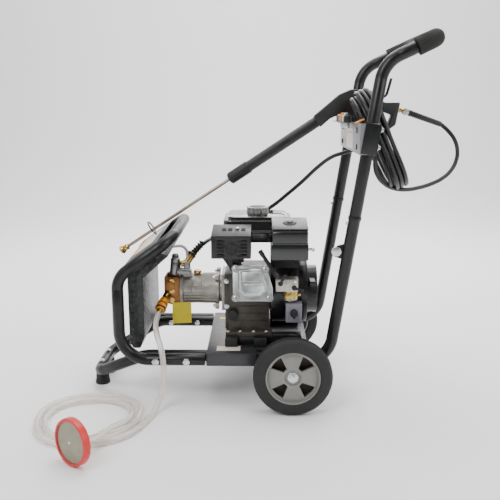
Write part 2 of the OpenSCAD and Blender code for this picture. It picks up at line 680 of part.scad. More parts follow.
module pump_fittings() color("#a58a4a") {
    // outlet
    rod([pump_x0 + 1.6, -15, ez + 70], [-281, -8, ez + 76], 17);
    rod([-286, -9, ez + 71], pump_route[0], 20);
    // inlet and the hose tail
    rod([-336, -33, 257], [-341, -48, 248], 21);
    rod([-340.9, -47.8, 248.1], suction[0], suction_d - 1);
    // plug of the oil filler
    translate([pump_x0 + 47, 0, ez + pump_r - 7.8]) cylinder(h = 13, d = 12);
    translate([pump_x0 + 47, 0, ez + pump_r + 0.2]) cylinder(h = 7, d = 22);
}

inlet_dir = unit(suction[0] - [-341, -48, 248]);
module inlet_collar() color("#e08a12") along([-341, -48, 248] + 6 * inlet_dir, inlet_dir) difference() {
    union() {
        cylinder(h = 15, d1 = 25, d2 = 28);
        translate([0, 0, 14.9]) cylinder(h = 5, d = 22);
        translate([0, 0, 19.8]) cylinder(h = 18, d1 = 30, d2 = 24);
    }
    translate([0, 0, -1]) cylinder(h = 60, d = suction_d - 1 + 2 * fit);
}

tank_foot = rail_z + tube_r + 0.3;              // the tank stands on the rails
tank_outline = [[-426, tank_foot + 14], [-426, 330], [-338, 394], [-318, 386], [-386, 326],
    [-386, tank_foot + 34], [-398, tank_foot], [-416, tank_foot]];
// Clockwise outline p moved inwards by t
function inset(p, t) = let (n = len(p)) [for (i = [0 : n - 1])
    let (a = unit(p[i] - p[(i + n - 1) % n]), b = unit(p[(i + 1) % n] - p[i]))
        p[i] + t / (1 + a * b) * [a[1] + b[1], -a[0] - b[0]]];

module detergent_tank() color("#1e1e20") rotate([90, 0, 0]) difference() {
    linear_extrude(2 * rail_y - 18, center = true) polygon(tank_outline);
    linear_extrude(2 * rail_y - 26, center = true) polygon(inset(tank_outline, 4));
}

module detergent_tube() color("#9a9a96")
    bent([[-323, -10, 385], [-284, -10, 389], [-283, -9, 356]], [0, 20, 0], 8);

// ---- gun and lance ----

gun_outline = [[79.2, 706.2], [60.4, 734.6], [100, 768], [128, 792], [158, 805], [186, 805], [215, 791],
    [250, 771], [291, 771], [281, 712], [262, 698], [212, 698], [188, 712], [172, 734], [131, 741], [104, 728]];
module gun_body() color("#2c2d2f") difference() {
    translate([0, lance_y + gun_w / 2, 0]) rotate([90, 0, 0]) linear_extrude(gun_w) polygon(gun_outline);
    translate([0, lance_y + gun_w, 0]) rotate([90, 0, 0]) linear_extrude(2 * gun_w)
        polygon([[198, 726], [214, 710], [260, 710], [270, 738], [214, 758], [204, 750]]);
    translate([0, lance_y + 5 + fit, 0]) rotate([90, 0, 0]) linear_extrude(10 + 2 * fit)
        polygon([[204, 740], [212, 774], [246, 764], [236, 740]]);
}

module gun_trigger() color("#1a1a1a") difference() {
    translate([0, lance_y + 5, 0]) rotate([90, 0, 0]) linear_extrude(10)
        polygon([[216, 766], [224, 770], [232, 764], [230, 742], [222, 722], [216, 716], [212, 720], [218, 742]]);
    translate([224, lance_y + 10, 762]) rotate([90, 0, 0]) cylinder(h = 20, d = 4);
}

module lance_sleeve() color("#2a2b2d") along(on_lance(0), lance_dir) difference() {
    union() {
        cylinder(h = 5, d1 = 24, d2 = 34);
        translate([0, 0, 4.9]) cylinder(h = 60, d = 34);
        translate([0, 0, 64.8]) cylinder(h = 220, d = 30);
    }
    translate([0, 0, -1]) cylinder(h = 280, d = lance_d + 2 * seat);
}

module lance_tube() color("#8d8579") along(on_lance(tip_s + tip_l), lance_dir)
    cylinder(h = 270 - tip_s - tip_l, d = lance_d);

module tip_socket() color("#c29b4b") along(on_lance(tip_s), lance_dir) difference() {
    union() {
        cylinder(h = tip_l, d = 16);
        translate([0, 0, tip_l - 7]) cylinder(h = 7, d = 19, $fn = 6);
    }
    translate([0, 0, -1]) cylinder(h = 17, r = socket_r);
}

module tip_collar() color("#c9a557") along(on_lance(tip_s + 3), lance_dir) difference() {
    union() {
        cylinder(h = 9, d = 22);
        cylinder(h = 3, d = 24);
    }
    translate([0, 0, -1]) cylinder(h = 11, d = 16 + 2 * fit);
}

// Spring buttons that lock the handle in its sockets
module snap_button() color("silver") along([upright_x(pin_z), up_y, pin_z], [-1, 0, tan(lean)]) {
    cylinder(h = tube_r + 5, d = 8);
    translate([0, 0, -1]) cylinder(h = 4, d = 10);
}
module snap_near() mirror([0, 1, 0]) snap_button();
module snap_far() snap_button();

// ---- hoses ----

module pressure_hose_run() color("#1b1b1c") hose(pump_route, pressure_d, 10);
module pressure_hose_lead() color("#1b1b1c") hose(gun_route, pressure_d, 10);

module oval(h, w, t) linear_extrude(t, center = true) union() {
    square([h - w, w], center = true);
    for (s = [-1, 1]) translate([s * (h - w) / 2, 0]) circle(d = w);
}

module pressure_hose_coil() color("#1b1b1c") translate(coil_c) rotate([0, 90 - coil_lean, 0]) difference() {
    oval(coil_h + coil_r, coil_w + coil_r, coil_t);
    oval(coil_h - coil_r, coil_w - coil_r, coil_t + 2);
}

module hose_end() color("#a9a491") {
    gun_port = [291.5, lance_y, 751];
    swivel = gun_port + [26, -0.5, -7];
    rod(gun_port, swivel, 20);
    along(swivel - [3, 0, 0], gun_route[0] - swivel + [3, 0, 0]) cylinder(h = 97.3, d1 = 17, d2 = 14);
}

module suction_hose() color("#dcd8d0") hose(suction, suction_d, 10);

filter_dir = unit([0.62, 0.79, 0]);
filter_tilt = [filter_dir[0], filter_dir[1], -0.06];
filter_port = [-477, -471, filter_d / 2 - 2];
module suction_filter() color("#c8342c") along(filter_port, -filter_tilt) difference() {
    union() {
        translate([0, 0, -8]) cylinder(h = 10, d = suction_d + 5);
        cylinder(h = 6, d = 40);
        translate([0, 0, 5.9]) cylinder(h = 20, d = filter_d - 3);
    }
    translate([0, 0, 22]) cylinder(h = 10, d = filter_d - 13);
}

translate([-x_mid, 0, 0]) {
    main_frame();
    front_guard();
    handle_tube();
    handle_grip();
    frame_feet();
    fasteners();
    front_plate();
    engine_deck();
    engine_rails();
    axle();
    tyre_near();
    rim_near();
    tyre_far();
    rim_far();
    wire_hooks();
    accessory_panel();
    spray_nozzles();
    crankcase();
    side_cover();
    cylinder_head();
    valve_cover();
    muffler();
    muffler_guard();
    air_cleaner();
    fuel_tank();
    fuel_cap();
    carburetor();
    blower_housing();
    recoil_cover();
    spark_plug_cap();
    flywheel();
    crankshaft();
    throttle_lever();
    choke_lever();
    fuel_lever();
    engine_switch();
    switch_box();
    oil_caps();
    pump_adapter();
    pump_body();
    pump_head();
    unloader_valve();
    pump_fittings();
    inlet_collar();
    detergent_tank();
    detergent_tube();
    gun_body();
    gun_trigger();
    lance_sleeve();
    lance_tube();
    tip_socket();
    tip_collar();
    snap_near();
    snap_far();
    pressure_hose_run();
    pressure_hose_coil();
    pressure_hose_lead();
    hose_end();
    suction_hose();
    suction_filter();
}
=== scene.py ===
# %% [markdown]
# # A petrol pressure washer on its trolley
# The CAD model already holds every piece in its place and on its moving body. This lesson gives the
# pieces their finished shapes and surfaces. Steel tube, cast metal, moulded plastic and hose each get
# a finish that starts from what the real one is made of.

# %% The frame
import json
import math

import bmesh
import bpy
from mathutils import Matrix, Vector

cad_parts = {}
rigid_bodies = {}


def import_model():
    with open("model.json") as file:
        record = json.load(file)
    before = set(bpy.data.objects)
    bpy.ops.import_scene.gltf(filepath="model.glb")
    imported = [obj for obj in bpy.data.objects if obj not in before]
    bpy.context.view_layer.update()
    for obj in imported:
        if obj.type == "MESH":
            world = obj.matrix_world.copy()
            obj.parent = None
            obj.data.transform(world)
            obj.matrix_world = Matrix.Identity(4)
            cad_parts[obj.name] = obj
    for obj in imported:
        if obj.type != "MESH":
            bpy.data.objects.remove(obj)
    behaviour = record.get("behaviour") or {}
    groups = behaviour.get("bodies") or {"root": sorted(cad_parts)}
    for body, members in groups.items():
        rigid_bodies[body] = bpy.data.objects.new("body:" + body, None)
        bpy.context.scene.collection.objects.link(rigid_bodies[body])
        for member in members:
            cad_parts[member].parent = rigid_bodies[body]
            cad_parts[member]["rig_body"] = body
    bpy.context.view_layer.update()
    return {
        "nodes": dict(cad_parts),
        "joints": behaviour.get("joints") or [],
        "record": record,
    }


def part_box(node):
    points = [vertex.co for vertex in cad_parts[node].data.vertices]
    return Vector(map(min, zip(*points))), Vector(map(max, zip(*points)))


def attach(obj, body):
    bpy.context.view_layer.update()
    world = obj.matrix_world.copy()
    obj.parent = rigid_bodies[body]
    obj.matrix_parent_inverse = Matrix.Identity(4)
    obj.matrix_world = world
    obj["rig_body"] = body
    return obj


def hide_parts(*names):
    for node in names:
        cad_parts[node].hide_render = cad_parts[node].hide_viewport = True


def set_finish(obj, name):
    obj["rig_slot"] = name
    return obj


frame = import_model()
MM = 0.001
print("nodes in the frame:", len(frame["nodes"]))

# %% [markdown]
# Places come from the frame. The wheel axle is the datum of the trolley, and the crankshaft at the
# pump's face is the datum of the engine, so both get a short function that turns a drawing's
# millimetres into a point.

# %% Datums


def low(node):
    return Vector(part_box(node)[0])


def high(node):
    return Vector(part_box(node)[1])


def middle(node):
    return (low(node) + high(node)) / 2


axle_x = middle("axle").x
axle_z = middle("axle").z
crank = Vector((high("crankshaft").x - 196 * MM, 0, middle("crankshaft").z))
pump_face = Vector((low("pump_body").x, 0, crank.z))
joint_axis = {j["name"]: Vector(j["axis"]) for j in frame["joints"]}
lance_dir = joint_axis["nozzle_collar_slide"].normalized()
lance_tip = Vector(frame["record"]["mounts"][1]["pos_m"]) - 8 * MM * lance_dir
body_of_node = {n: b for b, nodes in frame["record"]["behaviour"]["bodies"].items() for n in nodes}


def trolley(x, y, z):
    return Vector((axle_x + x * MM, y * MM, z * MM))


def engine(x, y, z):
    return crank + Vector((x, y, z)) * MM


def pump(x, y, z):
    return pump_face + Vector((x, y, z)) * MM


print("axle at", round(axle_x, 4), "crankshaft height", round(crank.z, 4))

# %% [markdown]
# Shader trees are built with two small functions. One turns a hex colour to linear values, and the
# other adds a node with its settings, its values and its links.

# %% Colours and shader nodes


def linear(colour):
    """An sRGB hex colour as linear red, green, blue and alpha."""
    parts = [int(colour[i:i + 2], 16) / 255 for i in (1, 3, 5)]
    return [c / 12.92 if c <= 0.04045 else ((c + 0.055) / 1.055) ** 2.4 for c in parts] + [1]


def add(tree, kind, inputs, **settings):
    """Adds a shader node with its settings, its values and its links."""
    node = tree.nodes.new(kind)
    for key, value in settings.items():
        setattr(node, key, value)
    for key, value in inputs.items():
        if isinstance(value, bpy.types.NodeSocket):
            tree.links.new(value, node.inputs[key])
        else:
            node.inputs[key].default_value = value
    return node


# %% [markdown]
# ## Camera, floor and light
# The floor is a roll of white paper that sweeps up behind. The camera stands level with the handle and
# looks a little down. The floor and the surroundings are pale, and four large soft lamps give long
# highlights on the black tube, while a fifth lights the paper. The backdrop side is white and the room
# behind the camera is dimmer, so bright metal has something dark to mirror.

# %% Camera
camera = bpy.data.objects.new("camera", bpy.data.cameras.new("camera"))
bpy.context.collection.objects.link(camera)
camera.location = trolley(-85, -1804.4, 766.3)
camera.rotation_euler = (math.radians(77.73), 0, math.radians(0.81))
camera.data.lens = 48.24
camera.data.sensor_width = 36
bpy.context.scene.camera = camera

# %% Floor, surroundings and lamps
world = bpy.data.worlds.new("studio")
bpy.context.scene.world = world
world.use_nodes = True
sky = world.node_tree
direction = add(sky, "ShaderNodeTexCoord", {})
split = add(sky, "ShaderNodeSeparateXYZ", {0: direction.outputs["Generated"]})
rise = add(sky, "ShaderNodeMapRange", {"Value": split.outputs["Y"], "From Min": -0.7, "From Max": 0.5,
                                       "To Min": 0.22, "To Max": 1.6})
sky.links.new(rise.outputs[0], sky.nodes["Background"].inputs["Strength"])
sky.nodes["Background"].inputs["Color"].default_value = (1, 1, 1, 1)


def verts_of(geom):
    """The vertices in what a bmesh operator made."""
    return [v for v in geom if isinstance(v, bmesh.types.BMVert)]


floor_mesh = bmesh.new()
sweep = [(-6, 0)] + [(2.4 + 1.6 * math.sin(math.radians(a)), 1.6 - 1.6 * math.cos(math.radians(a)))
                     for a in range(0, 91, 6)] + [(4, 6)]
edge = [floor_mesh.verts.new((-9, y, z)) for y, z in sweep]
lines = [floor_mesh.edges.new(pair) for pair in zip(edge, edge[1:])]
wide = bmesh.ops.extrude_edge_only(floor_mesh, edges=lines)["geom"]
bmesh.ops.translate(floor_mesh, vec=(18, 0, 0), verts=verts_of(wide))
floor_data = bpy.data.meshes.new("floor")
floor_mesh.to_mesh(floor_data)
floor_mesh.free()
floor_data.shade_smooth()
floor = bpy.data.objects.new("floor", floor_data)
bpy.context.collection.objects.link(floor)
paper = bpy.data.materials.new("white_paper")
paper.use_nodes = True
paper.node_tree.nodes["Principled BSDF"].inputs["Base Color"].default_value = linear("#f7f7f7")
paper.node_tree.nodes["Principled BSDF"].inputs["Roughness"].default_value = 0.9
floor_data.materials.append(paper)


def lamp(name, place, aim, size, power):
    data = bpy.data.lights.new(name, "AREA")
    data.size, data.energy = size, power
    light = bpy.data.objects.new(name, data)
    light.location = place
    light.rotation_euler = (Vector(aim) - Vector(place)).to_track_quat("-Z", "Y").to_euler()
    bpy.context.collection.objects.link(light)


lamp("key", (-1.6, -2.2, 2.6), (0, 0, 0.4), 1.6, 62)
lamp("fill", (2.2, -1.6, 1.7), (0, 0, 0.4), 1.4, 30)
lamp("top", (0.1, 0.5, 2.9), (0, 0, 0.3), 1.8, 48)
lamp("back", (0.4, 2.4, 1.8), (0, 0, 0.4), 1.6, 30)
lamp("paper", (0, 1.2, 2.9), (0, 4, 1.2), 3.0, 130)

# %% [markdown]
# ## Finishes
# Every finish is built the same way: a colour that drifts a little over the piece, a roughness that
# drifts with it, and a fine grain that lifts the surface. One function builds that common ground, and
# its sizes are real ones in millimetres.

# %% The common ground of a finish


def finish(name, colour, roughness, metallic=0.0, grain=0.8, depth=0.03, drift=0.12, patch=22.0,
           pits=0.0, stretch=(1, 1, 1), **sockets):
    """A surface: drifting colour and roughness, grain of a size and depth in mm, and casting pits."""
    material = bpy.data.materials.new(name)
    material.use_nodes = True
    tree = material.node_tree
    shader = tree.nodes["Principled BSDF"]
    place = add(tree, "ShaderNodeTexCoord", {}).outputs["Object"]
    run = add(tree, "ShaderNodeMapping", {"Vector": place, "Scale": stretch}).outputs["Vector"]
    broad = add(tree, "ShaderNodeTexNoise", {"Vector": run, "Scale": 1 / (patch * MM), "Detail": 5.0})
    fine = add(tree, "ShaderNodeTexNoise", {"Vector": run, "Scale": 1 / (grain * MM), "Detail": 3.0})
    base = linear(colour)
    dark = [c * (1 - drift) for c in base[:3]] + [1]
    pale = [min(1, c * (1 + drift) + 0.004) for c in base[:3]] + [1]
    spread = add(tree, "ShaderNodeMapRange", {"Value": broad.outputs["Fac"], 1: 0.3, 2: 0.7})
    tone = add(tree, "ShaderNodeMix", {0: spread.outputs[0], 6: dark, 7: pale}, data_type="RGBA")
    rub = add(tree, "ShaderNodeMapRange", {"Value": broad.outputs["Fac"], 1: 0.3, 2: 0.7,
                                           3: roughness * 0.85, 4: min(1, roughness * 1.15)})
    height = fine.outputs["Fac"]
    if pits:
        cells = add(tree, "ShaderNodeTexVoronoi", {"Vector": run, "Scale": 1 / (pits * MM)})
        height = add(tree, "ShaderNodeMath", {0: height, 1: cells.outputs["Distance"]},
                     operation="ADD").outputs[0]
    bump = add(tree, "ShaderNodeBump", {"Height": height, "Strength": 0.6, "Distance": depth * MM})
    tree.links.new(tone.outputs[2], shader.inputs["Base Color"])
    tree.links.new(rub.outputs[0], shader.inputs["Roughness"])
    tree.links.new(bump.outputs[0], shader.inputs["Normal"])
    shader.inputs["Metallic"].default_value = metallic
    for key, value in sockets.items():
        shader.inputs[key.replace("_", " ")].default_value = value
    return material


# %% [markdown]
# The trolley is steel tube with a black powder coat: melted powder leaves a satin skin with a faint
# orange peel about 1.5 mm across. Sheet parts have a smoother stoved paint. The foam grip is cut
# open-celled rubber, so it is almost without gloss.

# %% Trolley finishes
powder_coat = finish("satin_powder_coat", "#0a0a0b", 0.34, grain=1.5, depth=0.05, drift=0.08,
                     Specular_IOR_Level=0.4)
sheet_paint = finish("stoved_grey_paint", "#2c2b30", 0.34, grain=2.0, depth=0.02, drift=0.06)
panel_paint = finish("panel_paint", "#77777b", 0.36, grain=1.6, depth=0.03, drift=0.06)
black_paint = finish("stoved_black_paint", "#0b0b0c", 0.33, grain=1.8, depth=0.03, drift=0.08)
foam_rubber = finish("foam_rubber", "#171715", 0.93, grain=0.7, depth=0.35, pits=1.4, drift=0.16)
tyre_rubber = finish("solid_tyre_rubber", "#1e1e1e", 0.78, grain=0.6, depth=0.08, drift=0.16, patch=40)
rim_plastic = finish("moulded_grey_plastic", "#7f7e79", 0.48, grain=0.5, depth=0.03, drift=0.05)
# The web behind the rim's windows is dark brown: painted shade in the windows.
painted_window_shade = finish("shaded_brown_plastic", "#3a2f27", 0.6, grain=0.6, depth=0.04, drift=0.3, patch=18)
zinc = finish("bright_zinc_plating", "#cfd2d3", 0.27, metallic=1.0, grain=0.5, depth=0.03, drift=0.12,
              patch=6)
foot_rubber = finish("foot_rubber", "#161616", 0.7, grain=0.8, depth=0.05)

# %% [markdown]
# The engine is die-cast aluminium. The valve cover is left bright and blasted, the crankcase has a
# thin brown-grey paint over the casting's pits, and the covers are pressed or moulded with black
# gloss paint.

# %% Engine and pump finishes
bright_cast = finish("blasted_cast_aluminium", "#c9cccb", 0.36, metallic=0.95, grain=0.5, depth=0.08,
                     drift=0.1, patch=14, pits=1.2)
pump_cast = finish("cast_aluminium", "#a39f98", 0.42, metallic=0.75, grain=0.6, depth=0.12, drift=0.14,
                   patch=16, pits=1.6)
crank_cast = finish("painted_casting", "#47423c", 0.46, metallic=0.35, grain=0.8, depth=0.16, drift=0.18,
                    patch=18, pits=1.8)
head_cast = finish("raw_casting", "#8b857b", 0.5, metallic=0.6, grain=0.8, depth=0.12, drift=0.2, pits=1.8)
guard_paint = finish("heat_proof_black", "#0e0f11", 0.42, grain=0.9, depth=0.05, drift=0.1)
heat_steel = finish("heat_stained_steel", "#5f574f", 0.5, metallic=0.8, grain=1.0, depth=0.04, drift=0.3)
cap_metal = finish("dull_chrome", "#8f908d", 0.3, metallic=0.9, grain=0.5, depth=0.03, drift=0.15, patch=8)
gloss_black = finish("gloss_black_enamel", "#0c0d0e", 0.16, grain=2.5, depth=0.015, drift=0.06,
                     Coat_Weight=0.5)
cleaner_black = finish("moulded_black_plastic", "#0d0e0f", 0.3, grain=1.0, depth=0.04, drift=0.08)
# The air cleaner's lid: its plastic lightened by a painted highlight on its top and front edge.
lid_and_painted_sheen = finish("moulded_lid_plastic", "#1e1f21", 0.3, grain=1.0, depth=0.03, drift=0.08)
matt_black = finish("matt_black_plastic", "#0f0f10", 0.55, grain=0.7, depth=0.06, drift=0.1)
# Near-black for the muffler guard's slots and hexagon: painted shade in its openings.
painted_slot_shade = finish("dark_recess", "#070707", 0.8, grain=1.0, depth=0.02)
# The switch box's light grey-purple is a painted reflection standing in for a semi-gloss black part.
switch_grey = finish("switch_box_plastic", "#77757e", 0.42, grain=0.8, depth=0.03, drift=0.05)
zinc_carb = finish("zinc_die_casting", "#b9b6ac", 0.4, metallic=0.85, grain=0.4, depth=0.06, drift=0.18,
                   patch=7)
yellow_zinc = finish("yellow_passivated_zinc", "#cdb15a", 0.3, metallic=0.9, grain=0.6, depth=0.03,
                     drift=0.3, patch=9)
bronze = finish("forged_brass", "#9a6c3c", 0.42, metallic=0.8, grain=0.6, depth=0.1, drift=0.2, patch=12,
                pits=1.5)
brass = finish("turned_brass", "#bb9a58", 0.26, metallic=1.0, grain=0.4, depth=0.02, drift=0.12, patch=5)
valve_steel = finish("dull_steel", "#8d8c8b", 0.38, metallic=0.85, grain=0.5, depth=0.06, drift=0.16, patch=8)
iron = finish("machined_iron", "#77777a", 0.4, metallic=0.9, grain=0.5, depth=0.03)
orange_plastic = finish("orange_plastic", "#e8930c", 0.3, grain=0.8, depth=0.02, drift=0.06)
tank_plastic = finish("blow_moulded_plastic", "#1c2020", 0.4, grain=7.0, depth=4.0, drift=0.35, patch=14,
                      pits=11.0)

# %% [markdown]
# Hoses, gun and labels. The pressure hose is smooth black rubber over steel braid, the suction hose
# is clear soft PVC that looks milky because light goes through two walls, and the gun is moulded
# glass-filled nylon. Labels are blank printed film.

# %% Hose, gun and label finishes
gun_plastic = finish("glass_filled_nylon", "#121315", 0.5, grain=0.7, depth=0.1, drift=0.1)
lance_steel = finish("drawn_steel_tube", "#93877a", 0.3, metallic=1.0, grain=0.6, depth=0.02, drift=0.18,
                     stretch=(0.2, 1, 0.2))
hose_rubber = finish("black_hose_rubber", "#0b0b0c", 0.36, grain=1.1, depth=0.05, drift=0.1, patch=30)
clear_pvc = finish("clear_soft_pvc", "#fbf4ee", 0.2, grain=4.0, depth=0.02, drift=0.02, patch=60,
                   Transmission_Weight=0.62, IOR=1.45, Coat_Weight=0.3)
grey_tube = finish("grey_soft_tube", "#a9a8a3", 0.35, grain=1.0, depth=0.02, drift=0.06)
red_plastic = finish("red_plastic", "#c9211f", 0.36, grain=0.9, depth=0.03, drift=0.06)
mesh_steel = finish("woven_steel_mesh", "#8f8a78", 0.42, metallic=0.7, grain=0.5, depth=0.05, drift=0.15)
label_white = finish("off_white_label", "#ded6c8", 0.45, grain=1.5, depth=0.01, drift=0.04)
label_orange = finish("orange_label", "#e39028", 0.4, grain=1.5, depth=0.01, drift=0.06)
label_yellow = finish("yellow_card", "#e4cf1c", 0.5, grain=1.2, depth=0.02, drift=0.04)
label_red = finish("red_label", "#c23531", 0.4, grain=1.5, depth=0.01, drift=0.04)
nozzle_colours = {"black": "#1d1d1d", "white": "#e6e5df", "green": "#2f8f3a", "yellow": "#e6a722",
                  "red": "#c0332e"}
nozzle_plastics = [finish("nozzle_" + name, colour, 0.38, grain=0.8, depth=0.03, drift=0.05)
                   for name, colour in nozzle_colours.items()]
print("finishes:", len(bpy.data.materials))

# %% [markdown]
# ## Ways to make a piece
# Each piece starts in a small bmesh drawn in millimetres round its own centre. A placing matrix
# carries it to the machine. Parts of one piece are joined in one mesh, each with its own material
# slot, and the edges that should look crisp are marked sharp by their angle.

# %% Joining and placing parts


def placing(origin, forward=(1, 0, 0), up=(0, 0, 1)):
    """Carries a drawing in mm to origin, with its X along forward and its Z near up."""
    x = Vector(forward).normalized()
    y = Vector(up).cross(x).normalized()
    turned_axes = Matrix((x, y, x.cross(y))).transposed().to_4x4()
    return Matrix.Translation(origin) @ turned_axes @ Matrix.Scale(MM, 4)


def tilted(origin, angle, axis="X"):
    """Carries a drawing in mm to origin, turned by an angle about one axis."""
    return Matrix.Translation(origin) @ Matrix.Rotation(angle, 4, axis) @ Matrix.Scale(MM, 4)


def shift(x, y, z):
    """Moves a part within its own drawing."""
    return Matrix.Translation((x, y, z))


def join(whole, part, place, slot=0):
    """Adds a finished part to a piece at its place, in one of the piece's material slots."""
    bmesh.ops.transform(part, matrix=place, verts=part.verts)
    for face in part.faces:
        face.material_index = slot
    mesh = bpy.data.meshes.new("part")
    part.to_mesh(mesh)
    part.free()
    whole.from_mesh(mesh)
    bpy.data.meshes.remove(mesh)


def piece(name, whole, body, materials, node=None, sharp=32):
    """Turns a bmesh into an object that rides on a body and may stand for a CAD node."""
    mesh = bpy.data.meshes.new(name)
    whole.to_mesh(mesh)
    whole.free()
    for material in materials:
        mesh.materials.append(material)
    mesh.shade_smooth()
    mesh.set_sharp_from_angle(angle=math.radians(sharp))
    made = bpy.data.objects.new(name, mesh)
    bpy.context.collection.objects.link(made)
    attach(made, body)
    if node:
        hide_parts(node)
    print(name, len(mesh.polygons), "faces")
    return made


# %% [markdown]
# Four basic shapes cover most of the machine: a block with eased edges, a plate cut to an outline, a
# turned part, and a round bar between two points.

# %% Basic shapes


def ease(part, radius, segments=3, angle=30):
    edges = [e for e in part.edges if len(e.link_faces) == 2
             and e.calc_face_angle(0) > math.radians(angle)]
    bmesh.ops.bevel(part, geom=edges, offset=radius, segments=segments, profile=0.5,
                    affect="EDGES", clamp_overlap=True, material=-1)
    return part


def block(size, radius=1.0, segments=3):
    part = bmesh.new()
    bmesh.ops.create_cube(part, size=1)
    bmesh.ops.scale(part, vec=size, verts=part.verts)
    return ease(part, radius, segments) if radius else part


def cut_plate(outline, thickness, radius=0.0, segments=3):
    """A plate with a 2-D outline in X and Y, from Z 0 up to its thickness."""
    part = bmesh.new()
    face = part.faces.new([part.verts.new((x, y, 0)) for x, y in outline])
    raised = bmesh.ops.extrude_face_region(part, geom=[face])["geom"]
    bmesh.ops.translate(part, vec=(0, 0, thickness), verts=verts_of(raised))
    bmesh.ops.recalc_face_normals(part, faces=part.faces)
    return ease(part, radius, segments) if radius else part


def turned(profile, steps=48):
    """A part turned round Z from (radius, height) points."""
    part = bmesh.new()
    ring = [part.verts.new((r, 0, z)) for r, z in profile]
    edges = [part.edges.new(pair) for pair in zip(ring, ring[1:])]
    bmesh.ops.spin(part, geom=ring + edges, cent=(0, 0, 0), axis=(0, 0, 1), angle=math.tau,
                   steps=steps, use_merge=True)
    bmesh.ops.remove_doubles(part, verts=part.verts, dist=1e-4)
    bmesh.ops.recalc_face_normals(part, faces=part.faces)
    return part


def bar(length, diameter, radius=0.0, sides=32, end=None):
    """A round or many-sided bar along Z from 0, with an eased or tapered end."""
    part = bmesh.new()
    bmesh.ops.create_cone(part, cap_ends=True, segments=sides, radius1=diameter / 2,
                          radius2=(end or diameter) / 2, depth=length)
    bmesh.ops.translate(part, vec=(0, 0, length / 2), verts=part.verts)
    return ease(part, radius, 2, 40) if radius else part


def upright(origin, axis):
    """Placing that carries a drawing's Z along an axis."""
    z = Vector(axis).normalized()
    x = Vector((0, 0, 1)).cross(z) if abs(z.z) < 0.9 else Vector((0, 1, 0)).cross(z)
    return placing(origin, x, z)


def bolt(whole, origin, axis, across=10, height=6, slot=0, washer=True):
    """A hexagon bolt head on its washer."""
    if washer:
        join(whole, bar(1.6, across * 1.7, 0.4), upright(origin, axis), slot)
    join(whole, bar(height, across / math.cos(math.pi / 6), 0.7, 6), upright(origin, axis), slot)


# %% [markdown]
# Many CAD nodes have the right shape already and only lack the small radius that every real edge
# has. A copy of the node's mesh is merged, its flat triangles are joined into faces, and its edges
# are eased, so they catch the light.

# %% Easing the CAD nodes


def eased(node, material, radius=0.8, segments=2, angle=28, sharp=40):
    copy = bmesh.new()
    copy.from_mesh(frame["nodes"][node].data)
    bmesh.ops.remove_doubles(copy, verts=copy.verts, dist=2e-6)
    bmesh.ops.dissolve_limit(copy, angle_limit=math.radians(0.8), verts=copy.verts, edges=copy.edges)
    ease(copy, radius * MM, segments, angle)
    for face in copy.faces:
        face.material_index = 0
    return piece(node + "_finished", copy, body_of_node[node], [material], node, sharp)


# %% [markdown]
# ## Hoses
# Cords come first, because their room matters most. The pressure hose leaves the pump's outlet, runs
# under the tank and between the uprights to the hook, goes round the hook in flat oval turns, an outer
# layer and then an inner one, and comes back to the gun: one hose of about six metres. Its loose parts
# are points along the route, and its turns are worked out by a loop round the oval.

# %% The high-pressure hose
HOSE_D = 11.0
run_to_coil = [(-266, 0, 366), (-252, 8, 380), (-235, 26, 390), (-222, 56, 394), (-208, 92, 399),
               (-182, 126, 409), (-140, 140, 426), (-92, 144, 448), (-48, 138, 475), (-6, 124, 511),
               (38, 107, 552), (80, 94, 594), (116, 84, 622), (150, 68, 636), (178, 44, 648),
               (196, 22, 668), (202, 14, 692)]
coil_to_gun = [(202, -129, 642), (203, -124, 616), (213, -112, 590), (234, -95, 568), (262, -76, 554),
               (294, -60, 549), (330, -47, 552), (366, -36, 561), (399, -24, 575), (424, -10, 594),
               (440, 4, 618), (446, 18, 645), (440, 30, 673), (424, 40, 696), (406, 47, 713)]
coil_centre = Vector((220, -60, 676))
coil_lean = math.radians(24)
coil_height, coil_width = 254.0, 140.0
coil_down = Vector((math.sin(coil_lean), 0, -math.cos(coil_lean)))
coil_across = Vector((math.cos(coil_lean), 0, math.sin(coil_lean)))


def on_oval(turn, grow, along):
    """A point of the coil: turns from the far side's middle, upwards, grown from the centre line."""
    flat = coil_height - coil_width
    radius = coil_width / 2 + grow
    round_part = math.pi * radius
    left = (turn % 1) * (2 * flat + 2 * round_part)
    for corner_x, start in ((-1, 90), (1, -90)):
        side = flat / 2 if corner_x < 0 else flat
        if left <= side:
            down, out = (-left if corner_x < 0 else left - flat / 2), radius * -corner_x
            break
        left -= side
        if left <= round_part:
            a = math.radians(start) + left / radius
            down = corner_x * flat / 2 + radius * math.cos(a)
            out = radius * math.sin(a)
            break
        left -= round_part
    else:
        down, out = flat / 2 - left, radius
    return coil_centre + coil_down * down + Vector((0, out, 0)) + coil_across * along


start_turn, end_turn = 0.07, 7.5
outer_turns, half_width, pitch = 3.0, 26.0, 11.9
points_per_turn = 40
outer_grow, layer_gap, way_out = 4.6, 10.2, 4.4
first_along, last_along = -10, -27
blend = 0.3
coil_points = []
for i in range(int((end_turn - start_turn) * points_per_turn) + 1):
    turns = i / points_per_turn
    inwards = min(max((turns - outer_turns + blend / 2) / blend, 0), 1)
    leaving = min(max((start_turn + turns - end_turn + blend) / blend, 0), 1)
    grow = outer_grow - layer_gap * inwards + way_out * leaving * leaving
    along = min(first_along + pitch * turns, half_width)
    if turns > outer_turns:
        along = max(half_width - pitch * (turns - outer_turns), last_along - 2 * leaving)
    coil_points.append(on_oval(start_turn + turns, grow, along))
hose_points = [Vector(p) for p in run_to_coil] + coil_points + [Vector(p) for p in coil_to_gun]
print("coil points", len(coil_points))


